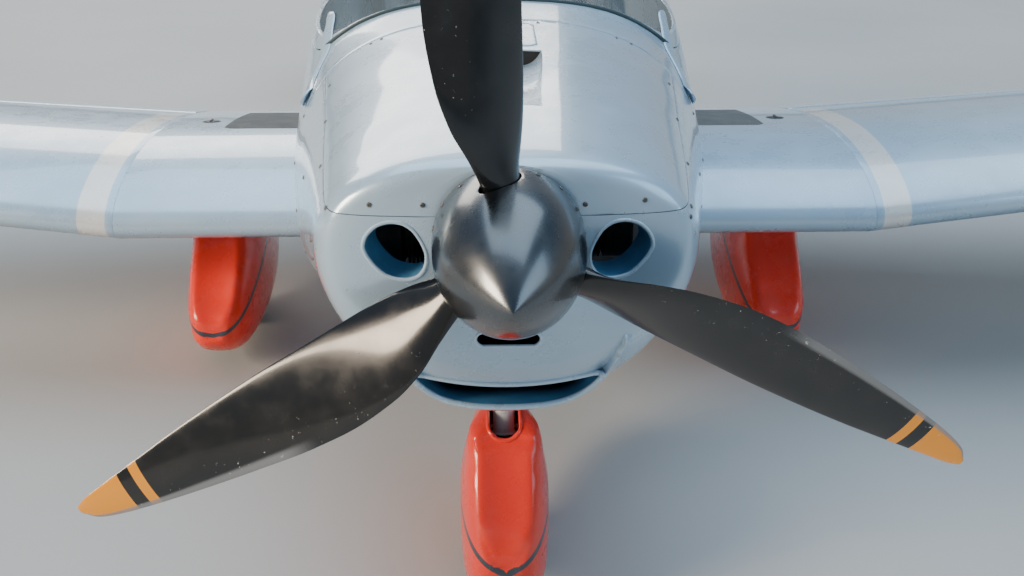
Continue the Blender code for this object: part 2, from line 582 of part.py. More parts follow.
# Tail surfaces; the tail's sweep keeps both elevator halves on one straight hinge line
tailSweep = elevatorShare * (tailChord - tailTipChord)
for side, tag in ((-1, "right"), (1, "left")):
    def tailAt(x):
        t = x / (tailSpan / 2)
        return tailLeadS + tailSweep * t, tailChord + (tailTipChord - tailChord) * t, 0.09

    def tailLoops(x):
        s, chord, thick = tailAt(x)
        _, half = foilMiddle(chord, thick, elevatorShare, 0, 0)
        loop = foil(chord, thick, 0, 0, 9, elevatorShare - (half + surfaceGap) / chord)
        return loop, shrink(loop, 0.004)

    def tailRing(x, loop):
        return [place(tailAt(x)[0] + b, side * x, tailHeight + u) for b, u in loop]

    ends = (0.02, tailSpan / 2)
    loops = [tailLoops(x) for x in ends]
    tail = shell("stabilizer_" + tag, [tailRing(x, lo[0]) for x, lo in zip(ends, loops)], [tailRing(x, lo[1]) for x, lo in zip((ends[0], ends[1] - 0.004), loops)], paint, (True, False))
    boolean(tail, bodyGuide)
    spanPair = (0.16, tailSpan / 2)
    middle, _ = foilMiddle(tailAt(0.7)[1], 0.09, elevatorShare, 0, 0)
    hinge = place(tailAt(0.7)[0] + middle.x, side * 0.7, tailHeight)
    cores = [tailRing(x, flapLoop(tailAt(x)[1], 0.09, elevatorShare, 0, 0, 3, 0.0035)) for x in (spanPair[0], spanPair[1] - 0.004)]
    piece = shell("elevator_" + tag, [tailRing(x, flapLoop(tailAt(x)[1], 0.09, elevatorShare, 0, 0, 3)) for x in spanPair], cores, paint, (True, False), origin=hinge)
    tube = rod("tube_guide_" + tag, place(tailAt(0)[0] + elevatorShare * tailChord, side * 0.1625, tailHeight), place(tailAt(0)[0] + elevatorShare * tailChord, side * 0.0839, tailHeight), 0.008, None, 16)
    plates = [tailRing(x, disc(tailAt(x)[1], 0.09, elevatorShare, 0, 0)) for x in (spanPair[0] + 0.0004, spanPair[0] + 0.0044)]
    boolean(piece, loft("elevator_plate_guide_" + tag, plates), "UNION")
    boolean(piece, tube, "UNION")

finRows = ((0.99, 4.86, 6.20), (finTopZ, 5.56, 6.17))
rudderShare = (0.735, 0.66)
loopsOut, loopsIn, rudderRings, rudderCores = [], [], [], []
for (z, lead, rear), share in zip(finRows, rudderShare):
    chord = rear - lead
    thick = 0.075
    _, half = foilMiddle(chord, thick, share, 0, 0)
    loop = foil(chord, thick, 0, 0, 9, share - (half + surfaceGap) / chord)
    loopsOut.append([place(lead + b, u, z) for b, u in loop])
    loopsIn.append([place(lead + b, u, z - (0.005 if z > 1.5 else 0)) for b, u in shrink(loop, 0.005)])
    rudderRings.append([place(lead + b, u, z) for b, u in flapLoop(chord, thick, share, 0, 0, 3)])
    rudderCores.append([place(lead + b, u, z + (-0.004 if z > 1.5 else 0.004)) for b, u in flapLoop(chord, thick, share, 0, 0, 3, 0.0035)])
fin = shell("fin", loopsOut, loopsIn, paint, (True, False))
boolean(fin, bodyGuide)
rudderHinge = place(rudderFoot[0], 0, rudderFoot[1])
rudderUp = Vector((0, *rudderLine))
rudder = shell("rudder", rudderRings, rudderCores, paint, (False, False), origin=rudderHinge)
boolean(rudder, rod("rudder_pin_guide", rudderHinge - rudderUp * pinLow, rudderHinge + rudderUp * 0.006, pinRadius + 0.002, None, 16), "UNION")


def wheel(tag, centre, radius, width, body):
    tyre = []
    half = width / 2
    for k in range(11):
        turn = math.pi * (0.5 - k / 10) * 1.25
        out = (radius + rimRadius) / 2 + 0.006
        tyre.append((half * math.sin(turn) / 1.0, out + (radius - out) * math.cos(turn)))
    tyre = [(a, max(r, rimRadius + 0.0003)) for a, r in tyre]
    rimHalf = half * 0.72
    profile = [(tyre[0][0], rimRadius + 0.0003)] + tyre[1:-1] + [(tyre[-1][0], rimRadius + 0.0003)]
    spun(tag + "_tyre", profile, centre, (1, 0, 0), rubber, 32, centre)
    spun(tag + "_rim", ((-rimHalf, axleRadius + touchGap), (-rimHalf, 0.040), (-rimHalf * 0.5, 0.044), (-rimHalf * 0.5, 0.070), (-rimHalf * 0.9, rimRadius), (rimHalf * 0.9, rimRadius), (rimHalf * 0.5, 0.070), (rimHalf * 0.5, 0.044), (rimHalf, 0.040), (rimHalf, axleRadius + touchGap)), centre, (1, 0, 0), metal, 32, centre)


# Nose gear: a raked leg with a fork, its wheel and its fairing
lean = math.radians(rakeAngle)
legFoot = place(0.528, 0, 0.362)
legUp = Vector((0, math.sin(lean), math.cos(lean)))
noseCentre = place(noseAxleS, 0, noseTyreRadius)
forkOutline = ((-0.073, 0.362), (0.073, 0.362), (0.073, 0.138), (0.061, 0.138), (0.061, 0.342), (-0.061, 0.342), (-0.061, 0.138), (-0.073, 0.138))
leg = loft("nose_leg", [[place(s, x, z) for x, z in forkOutline] for s in (0.515, 0.635)], metal, origin=legFoot)
boolean(leg, rod("leg_guide", legFoot - legUp * 0.012, legFoot + legUp * 0.36, legRadius, None, 20), "UNION")
boolean(leg, rod("nose_axle_guide", place(noseAxleS, -0.066, noseTyreRadius), place(noseAxleS, 0.066, noseTyreRadius), axleRadius, None, 16), "UNION")
wheel("nose", noseCentre, noseTyreRadius, noseTyreWidth, "nose")
sleeve = legFoot + legUp * 0.27
mount = spun("nose_leg_mount", ((0, legRadius + 0.0005), (0, 0.040), (0.09, 0.040), (0.09, legRadius + 0.0005)), sleeve, legUp, dark, 24)
boolean(mount, box("mount_brace", (sleeve.y + shiftY + 0.045, firewallS - touchGap), (-0.035, 0.035), (0.64, 0.68)), "UNION")


def fairing(tag, centreX, rows, wall, look, count=20, origin=None):
    """Wheel fairing from level sections: height, front, rear, half width."""
    best = fairNosePower / (fairNosePower + fairTailPower)
    widest = best**fairNosePower * (1 - best) ** fairTailPower

    def ring(row, inset):
        z, front, rear, half = row
        out = []
        for k in range(count):
            turn = 2 * math.pi * k / count
            c, d = math.cos(turn), math.sin(turn)
            u = (1 - c) / 2
            wide = half * u**fairNosePower * (1 - u) ** fairTailPower / widest if 0 < u < 1 else 0.0
            s = front + inset + (rear - front - 2 * inset) * u
            out.append(place(s, centreX + math.copysign(max(0.0, min(wide, half) - inset), d) if 0 < u < 1 else centreX, z))
        return out
    return [ring(r, 0) for r in rows], [ring(r, wall) for r in rows]


noseFairRows = (
    (0.075, 0.355, 0.80, 0.080),
    (0.100, 0.328, 0.88, 0.091),
    (0.150, 0.303, 0.98, 0.097),
    (0.210, 0.298, 1.02, 0.099),
    (0.280, 0.315, 1.00, 0.098),
    (0.350, 0.352, 0.90, 0.090),
    (0.400, 0.392, 0.80, 0.084),
    (0.440, 0.432, 0.72, 0.070),
    (0.470, 0.480, 0.665, 0.048),
)
outer, inner = fairing("nose", 0, noseFairRows, 0.005, orange)
nosePant = loft("nose_fairing", outer, orange, origin=legFoot)
boolean(nosePant, loft("nose_fairing_inside", [[p - Vector((0, 0, 0.05)) for p in inner[0]]] + inner[:-1]))
boolean(nosePant, rod("nose_tyre_guide", noseCentre - Vector((0.060, 0, 0)), noseCentre + Vector((0.060, 0, 0)), noseTyreRadius + 0.012, None, 36))
boolean(nosePant, rod("nose_hole_guide", legFoot + legUp * 0.02, legFoot + legUp * 0.2, legRadius + 0.0005, None, 20))

mainFairRows = (
    (0.070, 1.560, 2.16, 0.080),
    (0.100, 1.505, 2.28, 0.097),
    (0.150, 1.465, 2.38, 0.109),
    (0.210, 1.462, 2.40, 0.113),
    (0.270, 1.500, 2.34, 0.112),
    (0.330, 1.560, 2.29, 0.110),
    (0.400, 1.630, 2.28, 0.108),
    (0.450, 1.655, 2.29, 0.109),
    (0.530, 1.650, 2.31, 0.116),
)
for side, tag in ((-1, "right"), (1, "left")):
    centre = place(mainAxleS, side * mainAxleX, mainTyreRadius)
    outer, inner = fairing("main", side * mainAxleX, mainFairRows, 0.005, orange)
    pant = loft("main_fairing_" + tag, outer, orange)
    boolean(pant, loft("main_inside_" + tag, [[p - Vector((0, 0, 0.05)) for p in inner[0]]] + inner[:-1] + [[p + Vector((0, 0, 0.05)) for p in inner[-1]]]))
    boolean(pant, wingGuides[tag])
    boolean(pant, rod("tyre_guide_" + tag, centre - Vector((0.063, 0, 0)), centre + Vector((0.063, 0, 0)), mainTyreRadius + 0.012, None, 36))
    wheel("main_" + tag, centre, mainTyreRadius, mainTyreWidth, "main")
    legX = side * (mainAxleX - 0.078)
    bar = box("main_leg_" + tag, (mainAxleS - 0.045, mainAxleS + 0.045), sorted((legX - 0.010, legX + 0.010)), (0.135, 0.53), metal)
    boolean(bar, wingGuides[tag])
    axle = rod("main_axle_guide_" + tag, place(mainAxleS, legX, mainTyreRadius), place(mainAxleS, side * (mainAxleX + 0.060), mainTyreRadius), axleRadius, None, 16)
    boolean(bar, axle, "UNION")

# Cabin fittings that show through the canopy
boolean(box("instrument_panel", (1.40, 1.46), (-0.484, 0.484), (0.86, sillHeight - panelDrop - touchGap), dark), trimGuide, "INTERSECT")
loft("glareshield", [[place(s, -w, z), place(s, w, z), place(s, w, z + 0.012), place(s, -w, z + 0.012)] for s, w, z in ((1.26, 0.36, sillHeight + 0.03), (1.40, 0.46, sillHeight - panelDrop), (1.52, 0.47, sillHeight - panelDrop))], dark)
box("centre_console", (1.47, 1.90), (-0.055, 0.055), (floorTop + touchGap, 0.86), dark)
boolean(box("cabin_floor", (1.08, 2.70), (-0.6, 0.6), (floorTop - 0.008, floorTop), dark), trimGuide, "INTERSECT")
boolean(box("rear_bulkhead", (2.800, 2.810), (-0.6, 0.6), (0.40, 1.10), dark), trimGuide, "INTERSECT")
for side, tag in ((-1, "right"), (1, "left")):
    x = (side * 0.25 - 0.18, side * 0.25 + 0.18)
    seat = loft("seat_" + tag, [[place(s, x[0], a), place(s, x[1], a), place(s, x[1], b), place(s, x[0], b)] for s, a, b in ((1.93, 0.60, 0.70), (2.40, 0.555, 0.63))], fabric)
    for rail in (side * 0.25 - 0.11, side * 0.25 + 0.10):
        boolean(seat, box("rail_guide_%s_%d" % (tag, rail > side * 0.25), (1.95, 2.38), (rail, rail + 0.010), (floorTop + touchGap, 0.60)), "UNION")
    loft("seat_back_" + tag, [[place(s, x[0], z), place(s, x[1], z), place(s + 0.055, x[1], z), place(s + 0.055, x[0], z)] for s, z in ((2.4003, 0.60), (2.62, 1.18))], fabric)
    rod("control_stick_" + tag, place(1.72, side * 0.27, floorTop + 0.0034), place(1.80, side * 0.27, 0.86), 0.013, dark, 12)
pitotX, pitotZ = 3.2, wingAt(3.2)[1] - 0.12
pitot = rod("pitot_tube", place(wingLeadS - 0.15, -pitotX, pitotZ), place(wingLeadS + 0.33, -pitotX, pitotZ), 0.008, metal, 12)
boolean(pitot, box("pitot_mast_guide", (wingLeadS + 0.27, wingLeadS + 0.32), (-pitotX - 0.004, -pitotX + 0.004), (pitotZ, wingAt(pitotX)[1])), "UNION")
boolean(pitot, loft("panel_guide", [[p - Vector((0, 0, touchGap)) for p in wingRing(x, -1, panelLoops(x)[0])] for x in (wingKinkX, tipCapX)]))
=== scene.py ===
import json
import math
import time

import bmesh
import bpy
import numpy as np
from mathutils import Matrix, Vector
from mathutils.bvhtree import BVHTree

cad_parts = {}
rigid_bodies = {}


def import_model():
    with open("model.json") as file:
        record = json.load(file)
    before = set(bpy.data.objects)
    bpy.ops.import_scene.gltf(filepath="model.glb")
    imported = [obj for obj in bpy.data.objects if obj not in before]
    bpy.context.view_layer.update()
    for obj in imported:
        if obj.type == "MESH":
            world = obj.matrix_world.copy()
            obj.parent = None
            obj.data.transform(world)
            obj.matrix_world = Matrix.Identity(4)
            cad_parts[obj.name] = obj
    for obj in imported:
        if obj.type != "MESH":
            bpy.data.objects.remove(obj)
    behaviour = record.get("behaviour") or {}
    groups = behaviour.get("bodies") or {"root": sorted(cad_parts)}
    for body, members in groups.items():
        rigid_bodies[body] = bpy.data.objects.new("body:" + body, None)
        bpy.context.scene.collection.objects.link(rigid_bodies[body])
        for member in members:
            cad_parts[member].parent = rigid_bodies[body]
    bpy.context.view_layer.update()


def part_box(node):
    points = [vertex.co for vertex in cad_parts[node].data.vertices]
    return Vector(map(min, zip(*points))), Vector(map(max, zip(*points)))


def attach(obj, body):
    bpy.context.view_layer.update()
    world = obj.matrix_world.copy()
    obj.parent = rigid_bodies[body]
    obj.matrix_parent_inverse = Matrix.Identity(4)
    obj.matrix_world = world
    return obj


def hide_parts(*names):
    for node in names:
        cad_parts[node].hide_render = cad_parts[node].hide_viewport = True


begun = time.time()
for old in list(bpy.data.objects):
    bpy.data.objects.remove(old)
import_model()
shiftY = 2.9925  # stations s run aft from the propeller's plane, in metres
sides = ((-1, "right"), (1, "left"))


def say(stage):
    print("%6.1f s  %s" % (time.time() - begun, stage))


# shaping helpers
def at(s, x, z):
    s, x, z = np.broadcast_arrays(*(np.asarray(v, float) for v in (s, x, z)))
    return np.stack([x, s - shiftY, z], -1)


def smooth(t):
    t = np.clip(t, 0, 1)
    return t * t * (3 - 2 * t)


def flowing(xs, rows):  # a curve through the rows that never overshoots them
    xs, rows = np.asarray(xs, float), np.asarray(rows, float)
    gap = np.diff(xs)[:, None]
    slope = np.diff(rows, axis=0) / gap
    tangent = np.zeros_like(rows)
    same = slope[:-1] * slope[1:] > 0
    a, b = 2 * gap[1:] + gap[:-1], gap[1:] + 2 * gap[:-1]
    before, after = np.where(same, slope[:-1], 1), np.where(same, slope[1:], 1)
    tangent[1:-1] = np.where(same, (a + b) / (a / before + b / after), 0)
    tangent[0], tangent[-1] = slope[0], slope[-1]

    def curve(x):
        x = np.clip(np.atleast_1d(np.asarray(x, float)), xs[0], xs[-1])
        i = np.clip(np.searchsorted(xs, x, side="right") - 1, 0, len(gap) - 1)
        h = gap[i]
        t = (x - xs[i])[:, None] / h
        start = rows[i] * (1 + 2 * t) * (1 - t) ** 2 + tangent[i] * h * t * (1 - t) ** 2
        return start + rows[i + 1] * t * t * (3 - 2 * t) + tangent[i + 1] * h * t * t * (t - 1)

    return curve


def flowingRows(table):  # the same through table rows whose first column is where they stand
    return flowing([row[0] for row in table], [row[1:] for row in table])


def turnsOf(count, shift=0.0):  # angles evenly round a circle
    return 2 * math.pi * (np.arange(count) + shift) / count


def closedCurve(points, count):  # a smooth closed loop through a few points
    p = np.asarray(points, float)
    t = np.arange(count) * len(p) / count
    i = t.astype(int)
    u = (t - i)[:, None]
    a, b, c, d = (p[(i + k) % len(p)] for k in (-1, 0, 1, 2))
    bend, twist = 2 * a - 5 * b + 4 * c - d, 3 * b - a - 3 * c + d
    return 0.5 * (2 * b + (c - a) * u + bend * u * u + twist * u**3)


def spaced(points, count):  # the same line with evenly spaced points
    points = np.asarray(points, float)
    along = np.concatenate([[0], np.cumsum(np.linalg.norm(np.diff(points, axis=0), axis=1))])
    even = np.linspace(0, along[-1], count)
    return np.stack([np.interp(even, along, points[:, k]) for k in range(points.shape[1])], -1)


def shaded(obj, sharp=32):
    obj.data.shade_smooth()
    obj.data.set_sharp_from_angle(angle=math.radians(sharp))
    return obj


def placed(name, data):  # a new object in the scene
    obj = bpy.data.objects.new(name, data)
    bpy.context.scene.collection.objects.link(obj)
    return obj


def verticesOf(obj):
    return np.array([v.co for v in obj.data.vertices])


def reshaped(obj, points):  # gives the vertices new places
    obj.data.vertices.foreach_set("co", points.ravel())
    obj.data.update()
    return obj


def meshOf(name, points, faces, sharp=32):
    mesh = bpy.data.meshes.new(name)
    mesh.from_pydata([tuple(p) for p in points], [], faces)
    obj = placed(name, mesh)
    shape = bmesh.new()
    shape.from_mesh(mesh)
    bmesh.ops.remove_doubles(shape, verts=shape.verts, dist=2e-6)
    bmesh.ops.recalc_face_normals(shape, faces=shape.faces)
    shape.to_mesh(mesh)
    shape.free()
    return shaded(obj, sharp)


def skin(name, grid, wrap=False, loop=False, caps="", sharp=32):  # a surface over rows of points
    grid = np.asarray(grid, float)
    n, m = grid.shape[:2]
    index = np.arange(n * m).reshape(n, m)
    rows = np.vstack([index, index[:1]]) if loop else index
    cells = np.hstack([rows, rows[:, :1]]) if wrap else rows
    quads = np.stack(
        [cells[:-1, :-1], cells[:-1, 1:], cells[1:, 1:], cells[1:, :-1]], -1,
    ).reshape(-1, 4).tolist()
    if "a" in caps:
        quads.append(index[0].tolist())
    if "b" in caps:
        quads.append(index[-1].tolist())
    return meshOf(name, grid.reshape(-1, 3), quads, sharp)


def solid(name, grid, sharp=32):  # rings of points, closed at both ends
    return skin(name, grid, True, caps="ab", sharp=sharp)


def settled(obj):  # turns what the modifiers give into a plain mesh
    obj.data = bpy.data.meshes.new_from_object(obj.evaluated_get(bpy.context.evaluated_depsgraph_get()))
    obj.modifiers.clear()
    return obj


def modified(obj, kind, **settings):
    made = obj.modifiers.new(kind.lower(), kind)
    for key, value in settings.items():
        setattr(made, key, value)
    return settled(obj)


def flipped(obj):
    obj.data.flip_normals()
    return obj


def walled(obj, thick, even=True):  # gives an open skin its wall, inwards
    return modified(obj, "SOLIDIFY", thickness=thick, offset=-1, use_even_offset=even)


def outward(obj):  # a crescent can come out of the recalculation inside out
    shape = bmesh.new()
    shape.from_mesh(obj.data)
    inverted = shape.calc_volume(signed=True) < 0
    shape.free()
    return flipped(obj) if inverted else obj


def carved(obj, *cutters, how="DIFFERENCE", solver="MANIFOLD"):
    for cutter in cutters:
        outward(cutter)
        before = len(obj.data.polygons)
        modified(obj, "BOOLEAN", operation=how, object=cutter, solver=solver)
        if not obj.data.polygons or before == len(obj.data.polygons):
            say("check the cut of %s by %s" % (obj.name, cutter.name))
    for cutter in cutters:
        bpy.data.objects.remove(cutter)
    return obj


def edged(obj, width, segments=2, angle=38):
    limit = math.radians(angle)
    return modified(obj, "BEVEL", width=width, segments=segments, limit_method="ANGLE", angle_limit=limit)


def tube(name, path, radius, sides=10, closed=False):
    path = np.asarray(path, float)
    n = len(path)
    ahead = (np.roll(path, -1, 0) - np.roll(path, 1, 0)) if closed else np.gradient(path, axis=0)
    ahead /= np.linalg.norm(ahead, axis=1)[:, None] + 1e-12
    side = np.cross(ahead[0], [0, 0, 1] if abs(ahead[0][2]) < 0.9 else [1, 0, 0])
    rings = []
    radius = np.broadcast_to(radius, n)
    turns = turnsOf(sides)
    for i in range(n):
        side = side - ahead[i] * side.dot(ahead[i])
        side /= np.linalg.norm(side)
        up = np.cross(ahead[i], side)
        rings.append(path[i] + radius[i] * (np.cos(turns)[:, None] * side + np.sin(turns)[:, None] * up))
    return skin(name, rings, True, closed, "" if closed else "ab", 50)


def spun(name, profile, centre, axis, steps=64, closed=True, sharp=32):  # profile of (along, radius)
    axis = np.asarray(axis, float) / np.linalg.norm(axis)
    side = np.cross(axis, [0, 0, 1] if abs(axis[2]) < 0.9 else [1, 0, 0])
    side /= np.linalg.norm(side)
    up = np.cross(side, axis)
    turns = turnsOf(steps)
    ring = np.cos(turns)[:, None] * side + np.sin(turns)[:, None] * up
    grid = [np.asarray(centre) + axis * a + ring * r for a, r in profile]
    return skin(name, grid, True, closed, sharp=sharp)


def blockOf(name, s, x, z, round=0.0):
    grid = [[at(v, x[0], z[0]), at(v, x[1], z[0]), at(v, x[1], z[1]), at(v, x[0], z[1])] for v in s]
    made = solid(name, grid)
    return edged(made, round, 2) if round else made


def pushed(name, outline, x):  # a side outline of (s, z) pushed through from x[0] to x[1]
    return solid(name, [at([p[0] for p in outline], v, [p[1] for p in outline]) for v in x])


def joined(name, *objs):
    shape = bmesh.new()
    for obj in objs:
        shape.from_mesh(obj.data)
    made = bpy.data.meshes.new(name)
    shape.to_mesh(made)
    shape.free()
    for obj in objs:
        bpy.data.objects.remove(obj)
    return shaded(placed(name, made))


def fitted(obj, look, *nodes, body="airframe", slot=None, sharp=32, name=None):  # last step of every piece
    if name:
        obj.name = name
    shaded(obj, sharp)
    obj.data.materials.clear()
    obj.data.materials.append(look)
    obj.data.polygons.foreach_set("material_index", [0] * len(obj.data.polygons))
    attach(obj, body)
    if nodes:
        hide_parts(*nodes)
    return obj


# finishes
class Strand:  # one shader value that takes part in sums
    def __init__(self, look, socket):
        self.look, self.socket = look, socket

    def maths(self, how, *others, first=None):
        return self.look.node("Math", {"operation": how}, [self if first is None else first, *others])

    def __add__(self, other):
        return self.maths("ADD", other)

    def __sub__(self, other):
        return self.maths("SUBTRACT", other)

    def __rsub__(self, other):
        return self.maths("SUBTRACT", self, first=other)

    def __mul__(self, other):
        return self.maths("MULTIPLY", other)

    def __pow__(self, other):
        return self.maths("POWER", other)

    def __gt__(self, other):
        return self.maths("GREATER_THAN", other)

    def __lt__(self, other):
        return self.maths("LESS_THAN", other)

    def __abs__(self):
        return self.maths("ABSOLUTE")

    __radd__, __rmul__ = __add__, __mul__

    def ramp(self, low, high, a=0.0, b=1.0):  # a soft step from a to b between low and high
        sockets = {"Value": self, "From Min": low, "From Max": high, "To Min": a, "To Max": b}
        return self.look.node("MapRange", {"interpolation_type": "SMOOTHSTEP"}, sockets)

    def band(self, low, high, soft):
        return self.ramp(low - soft, low + soft) * self.ramp(high - soft, high + soft, 1.0, 0.0)


class Look:
    def __init__(self, name, **fixed):
        self.material = bpy.data.materials.new(name)
        self.material.use_nodes = True
        self.tree = self.material.node_tree
        self.shader = self.tree.nodes["Principled BSDF"]
        self.point = self.node("TexCoord", out=3)
        for key, value in fixed.items():  # coatWeight sets the shader's Coat Weight
            label = "".join(" " + c if c.isupper() else c for c in key).title().replace("Ior", "IOR")
            self.fill(self.shader.inputs[label], value)

    def fill(self, socket, value):  # with a link, a colour of three numbers or a plain value
        if isinstance(value, Strand):
            self.tree.links.new(value.socket, socket)
        elif isinstance(value, tuple) and len(value) == 3 and socket.type == "RGBA":
            socket.default_value = (*value, 1.0)
        else:
            socket.default_value = value

    def node(self, kind, settings=None, sockets=(), out=0):
        made = self.tree.nodes.new("ShaderNode" + kind)
        for key, value in (settings or {}).items():
            setattr(made, key, value)
        for key, value in sockets.items() if isinstance(sockets, dict) else enumerate(sockets):
            self.fill(made.inputs[key], value)
        return Strand(self, made.outputs[out])

    def noise(self, scale, detail=3.0, rough=0.55):
        return self.node(
            "TexNoise", None,
            {"Vector": self.point, "Scale": scale, "Detail": detail, "Roughness": rough},
        )

    def cells(self, scale):
        return self.node("TexVoronoi", None, {"Vector": self.point, "Scale": scale})

    def wave(self, direction, scale, warp=0.0):
        settings = {"wave_type": "BANDS", "bands_direction": direction}
        return self.node("TexWave", settings, {"Vector": self.point, "Scale": scale, "Distortion": warp})

    def axis(self, which):
        return self.node("SeparateXYZ", None, [self.point], out="XYZ".index(which))

    def mix(self, amount, a, b):
        return self.node("Mix", {"data_type": "RGBA"}, {0: amount, 6: a, 7: b}, out=2)

    def gives(self, socket, value):
        self.tree.links.new(value.socket, self.shader.inputs[socket])

    def raised(self, height, strength, distance):
        self.gives(
            "Normal",
            self.node("Bump", None, {"Height": height, "Strength": strength, "Distance": distance}),
        )


def glossPaint(name, colour, shade, metallic=0.3, rough=0.24, stripe=None, dust=0.14, coat=0.8):
    look = Look(name, metallic=metallic, coatWeight=1.0, coatRoughness=0.05, coatIor=1.45)
    cloud, grime, speck = look.noise(1.3, 4), look.noise(9, 6, 0.65), look.cells(260)
    base = look.mix(cloud.ramp(0.35, 0.65), colour, shade)
    if stripe:
        base = stripe(look, base)
    low = look.axis("Z").ramp(0.35, 1.1, 1.0, 0.25)
    dirt = grime.ramp(0.52, 0.78) * low * dust
    spots = speck.ramp(0.10, 0.16, 1.0, 0.0) * look.noise(5, 2).ramp(0.60, 0.70) * 0.2
    base = look.mix(dirt, base, (0.50, 0.46, 0.40))
    base = look.mix(spots, base, (0.10, 0.085, 0.07))
    look.gives("Base Color", base)
    look.gives("Roughness", grime.ramp(0.3, 0.8, rough, rough + 0.16) + spots * 0.3)
    look.gives("Coat Weight", (dirt + spots).ramp(0.0, 0.6, coat, coat * 0.4))
    look.raised(look.noise(38, 2) * 0.5 + look.noise(900, 1) * 0.12, 0.05, 0.002)
    return look.material


def wingBand(look, base):  # the white band where the outer wing begins to rise
    x = abs(look.axis("X"))
    y = look.axis("Y")
    return look.mix(x.band(1.122, 1.202, 0.0006) * (y < -0.70), base, (0.80, 0.79, 0.76))


def pinstripe(front, rear, line, low, across, centre):  # a dark line round a wheel fairing's nose, rising aft
    def stripe(look, base):
        y, z = look.axis("Y"), look.axis("Z")
        height = (y + (shiftY - front)).maths("MAXIMUM", 0.0)
        middle = height.maths("MINIMUM", rear) * line
        middle = middle + abs(abs(look.axis("X")) - centre) * across + low
        return look.mix(abs(z - middle).ramp(0.0066, 0.0076, 1.0, 0.0), base, (0.035, 0.045, 0.06))
    return stripe


silver = (0.46, 0.61, 0.74)
silverShade = (0.41, 0.56, 0.69)
orangeRed = (0.94, 0.034, 0.006)
orangeShade = (0.74, 0.028, 0.008)
paint = glossPaint("silver_paint", silver, silverShade, stripe=wingBand)
noseStripe = pinstripe(0.300, 0.40, 0.20, 0.190, 0.60, 0.0)
mainStripe = pinstripe(1.46, 0.45, 0.34, 0.165, 0.25, 0.885)
nosePaint = glossPaint("nose_fairing_paint", orangeRed, orangeShade, 0.0, 0.22, noseStripe, 0.08, 0.45)
mainPaint = glossPaint("main_fairing_paint", orangeRed, orangeShade, 0.0, 0.22, mainStripe, 0.08, 0.45)
whitePaint = glossPaint("white_paint", (0.78, 0.78, 0.76), (0.72, 0.72, 0.71), 0.0, 0.3)


def plainLook(name, colour, other, rough, metallic=0.0, grain=240, depth=0.0006, coat=0.0, wear=None):
    look = Look(name, metallic=metallic, coatWeight=coat)
    grime = look.noise(14, 5, 0.6)
    base = look.mix(grime.ramp(0.35, 0.7), colour, other)
    if wear:
        base = look.mix(look.noise(70, 4).ramp(0.60, 0.72) * 0.6, base, wear)
    look.gives("Base Color", base)
    look.gives("Roughness", grime.ramp(0.3, 0.75, rough, min(1.0, rough + 0.15)))
    look.raised(look.noise(grain, 3), 0.35, depth)
    return look.material


blackGap = plainLook("gap_shadow", (0.012, 0.012, 0.013), (0.02, 0.02, 0.02), 0.8)
seal = plainLook("rubber_seal", (0.018, 0.019, 0.021), (0.035, 0.035, 0.036), 0.55, grain=500)
bareMetal = plainLook("turned_metal", (0.56, 0.57, 0.58), (0.45, 0.46, 0.47), 0.3, 0.95, 380, 0.0002)
strutPaint = plainLook(
    "strut_paint", (0.62, 0.63, 0.63), (0.50, 0.51, 0.52), 0.35, 0.15, 160, 0.0003, 0.4,
    (0.30, 0.28, 0.26),
)
castMetal = plainLook("cast_metal", (0.20, 0.20, 0.205), (0.12, 0.12, 0.125), 0.5, 0.8, 90, 0.0015)
trim = plainLook("dark_trim", (0.050, 0.050, 0.053), (0.075, 0.073, 0.070), 0.6, grain=650, depth=0.0005)
blackGloss = plainLook(
    "black_moulding", (0.014, 0.014, 0.015), (0.025, 0.024, 0.023), 0.25, grain=300, depth=0.0001,
    coat=0.6,
)
say("finishes")

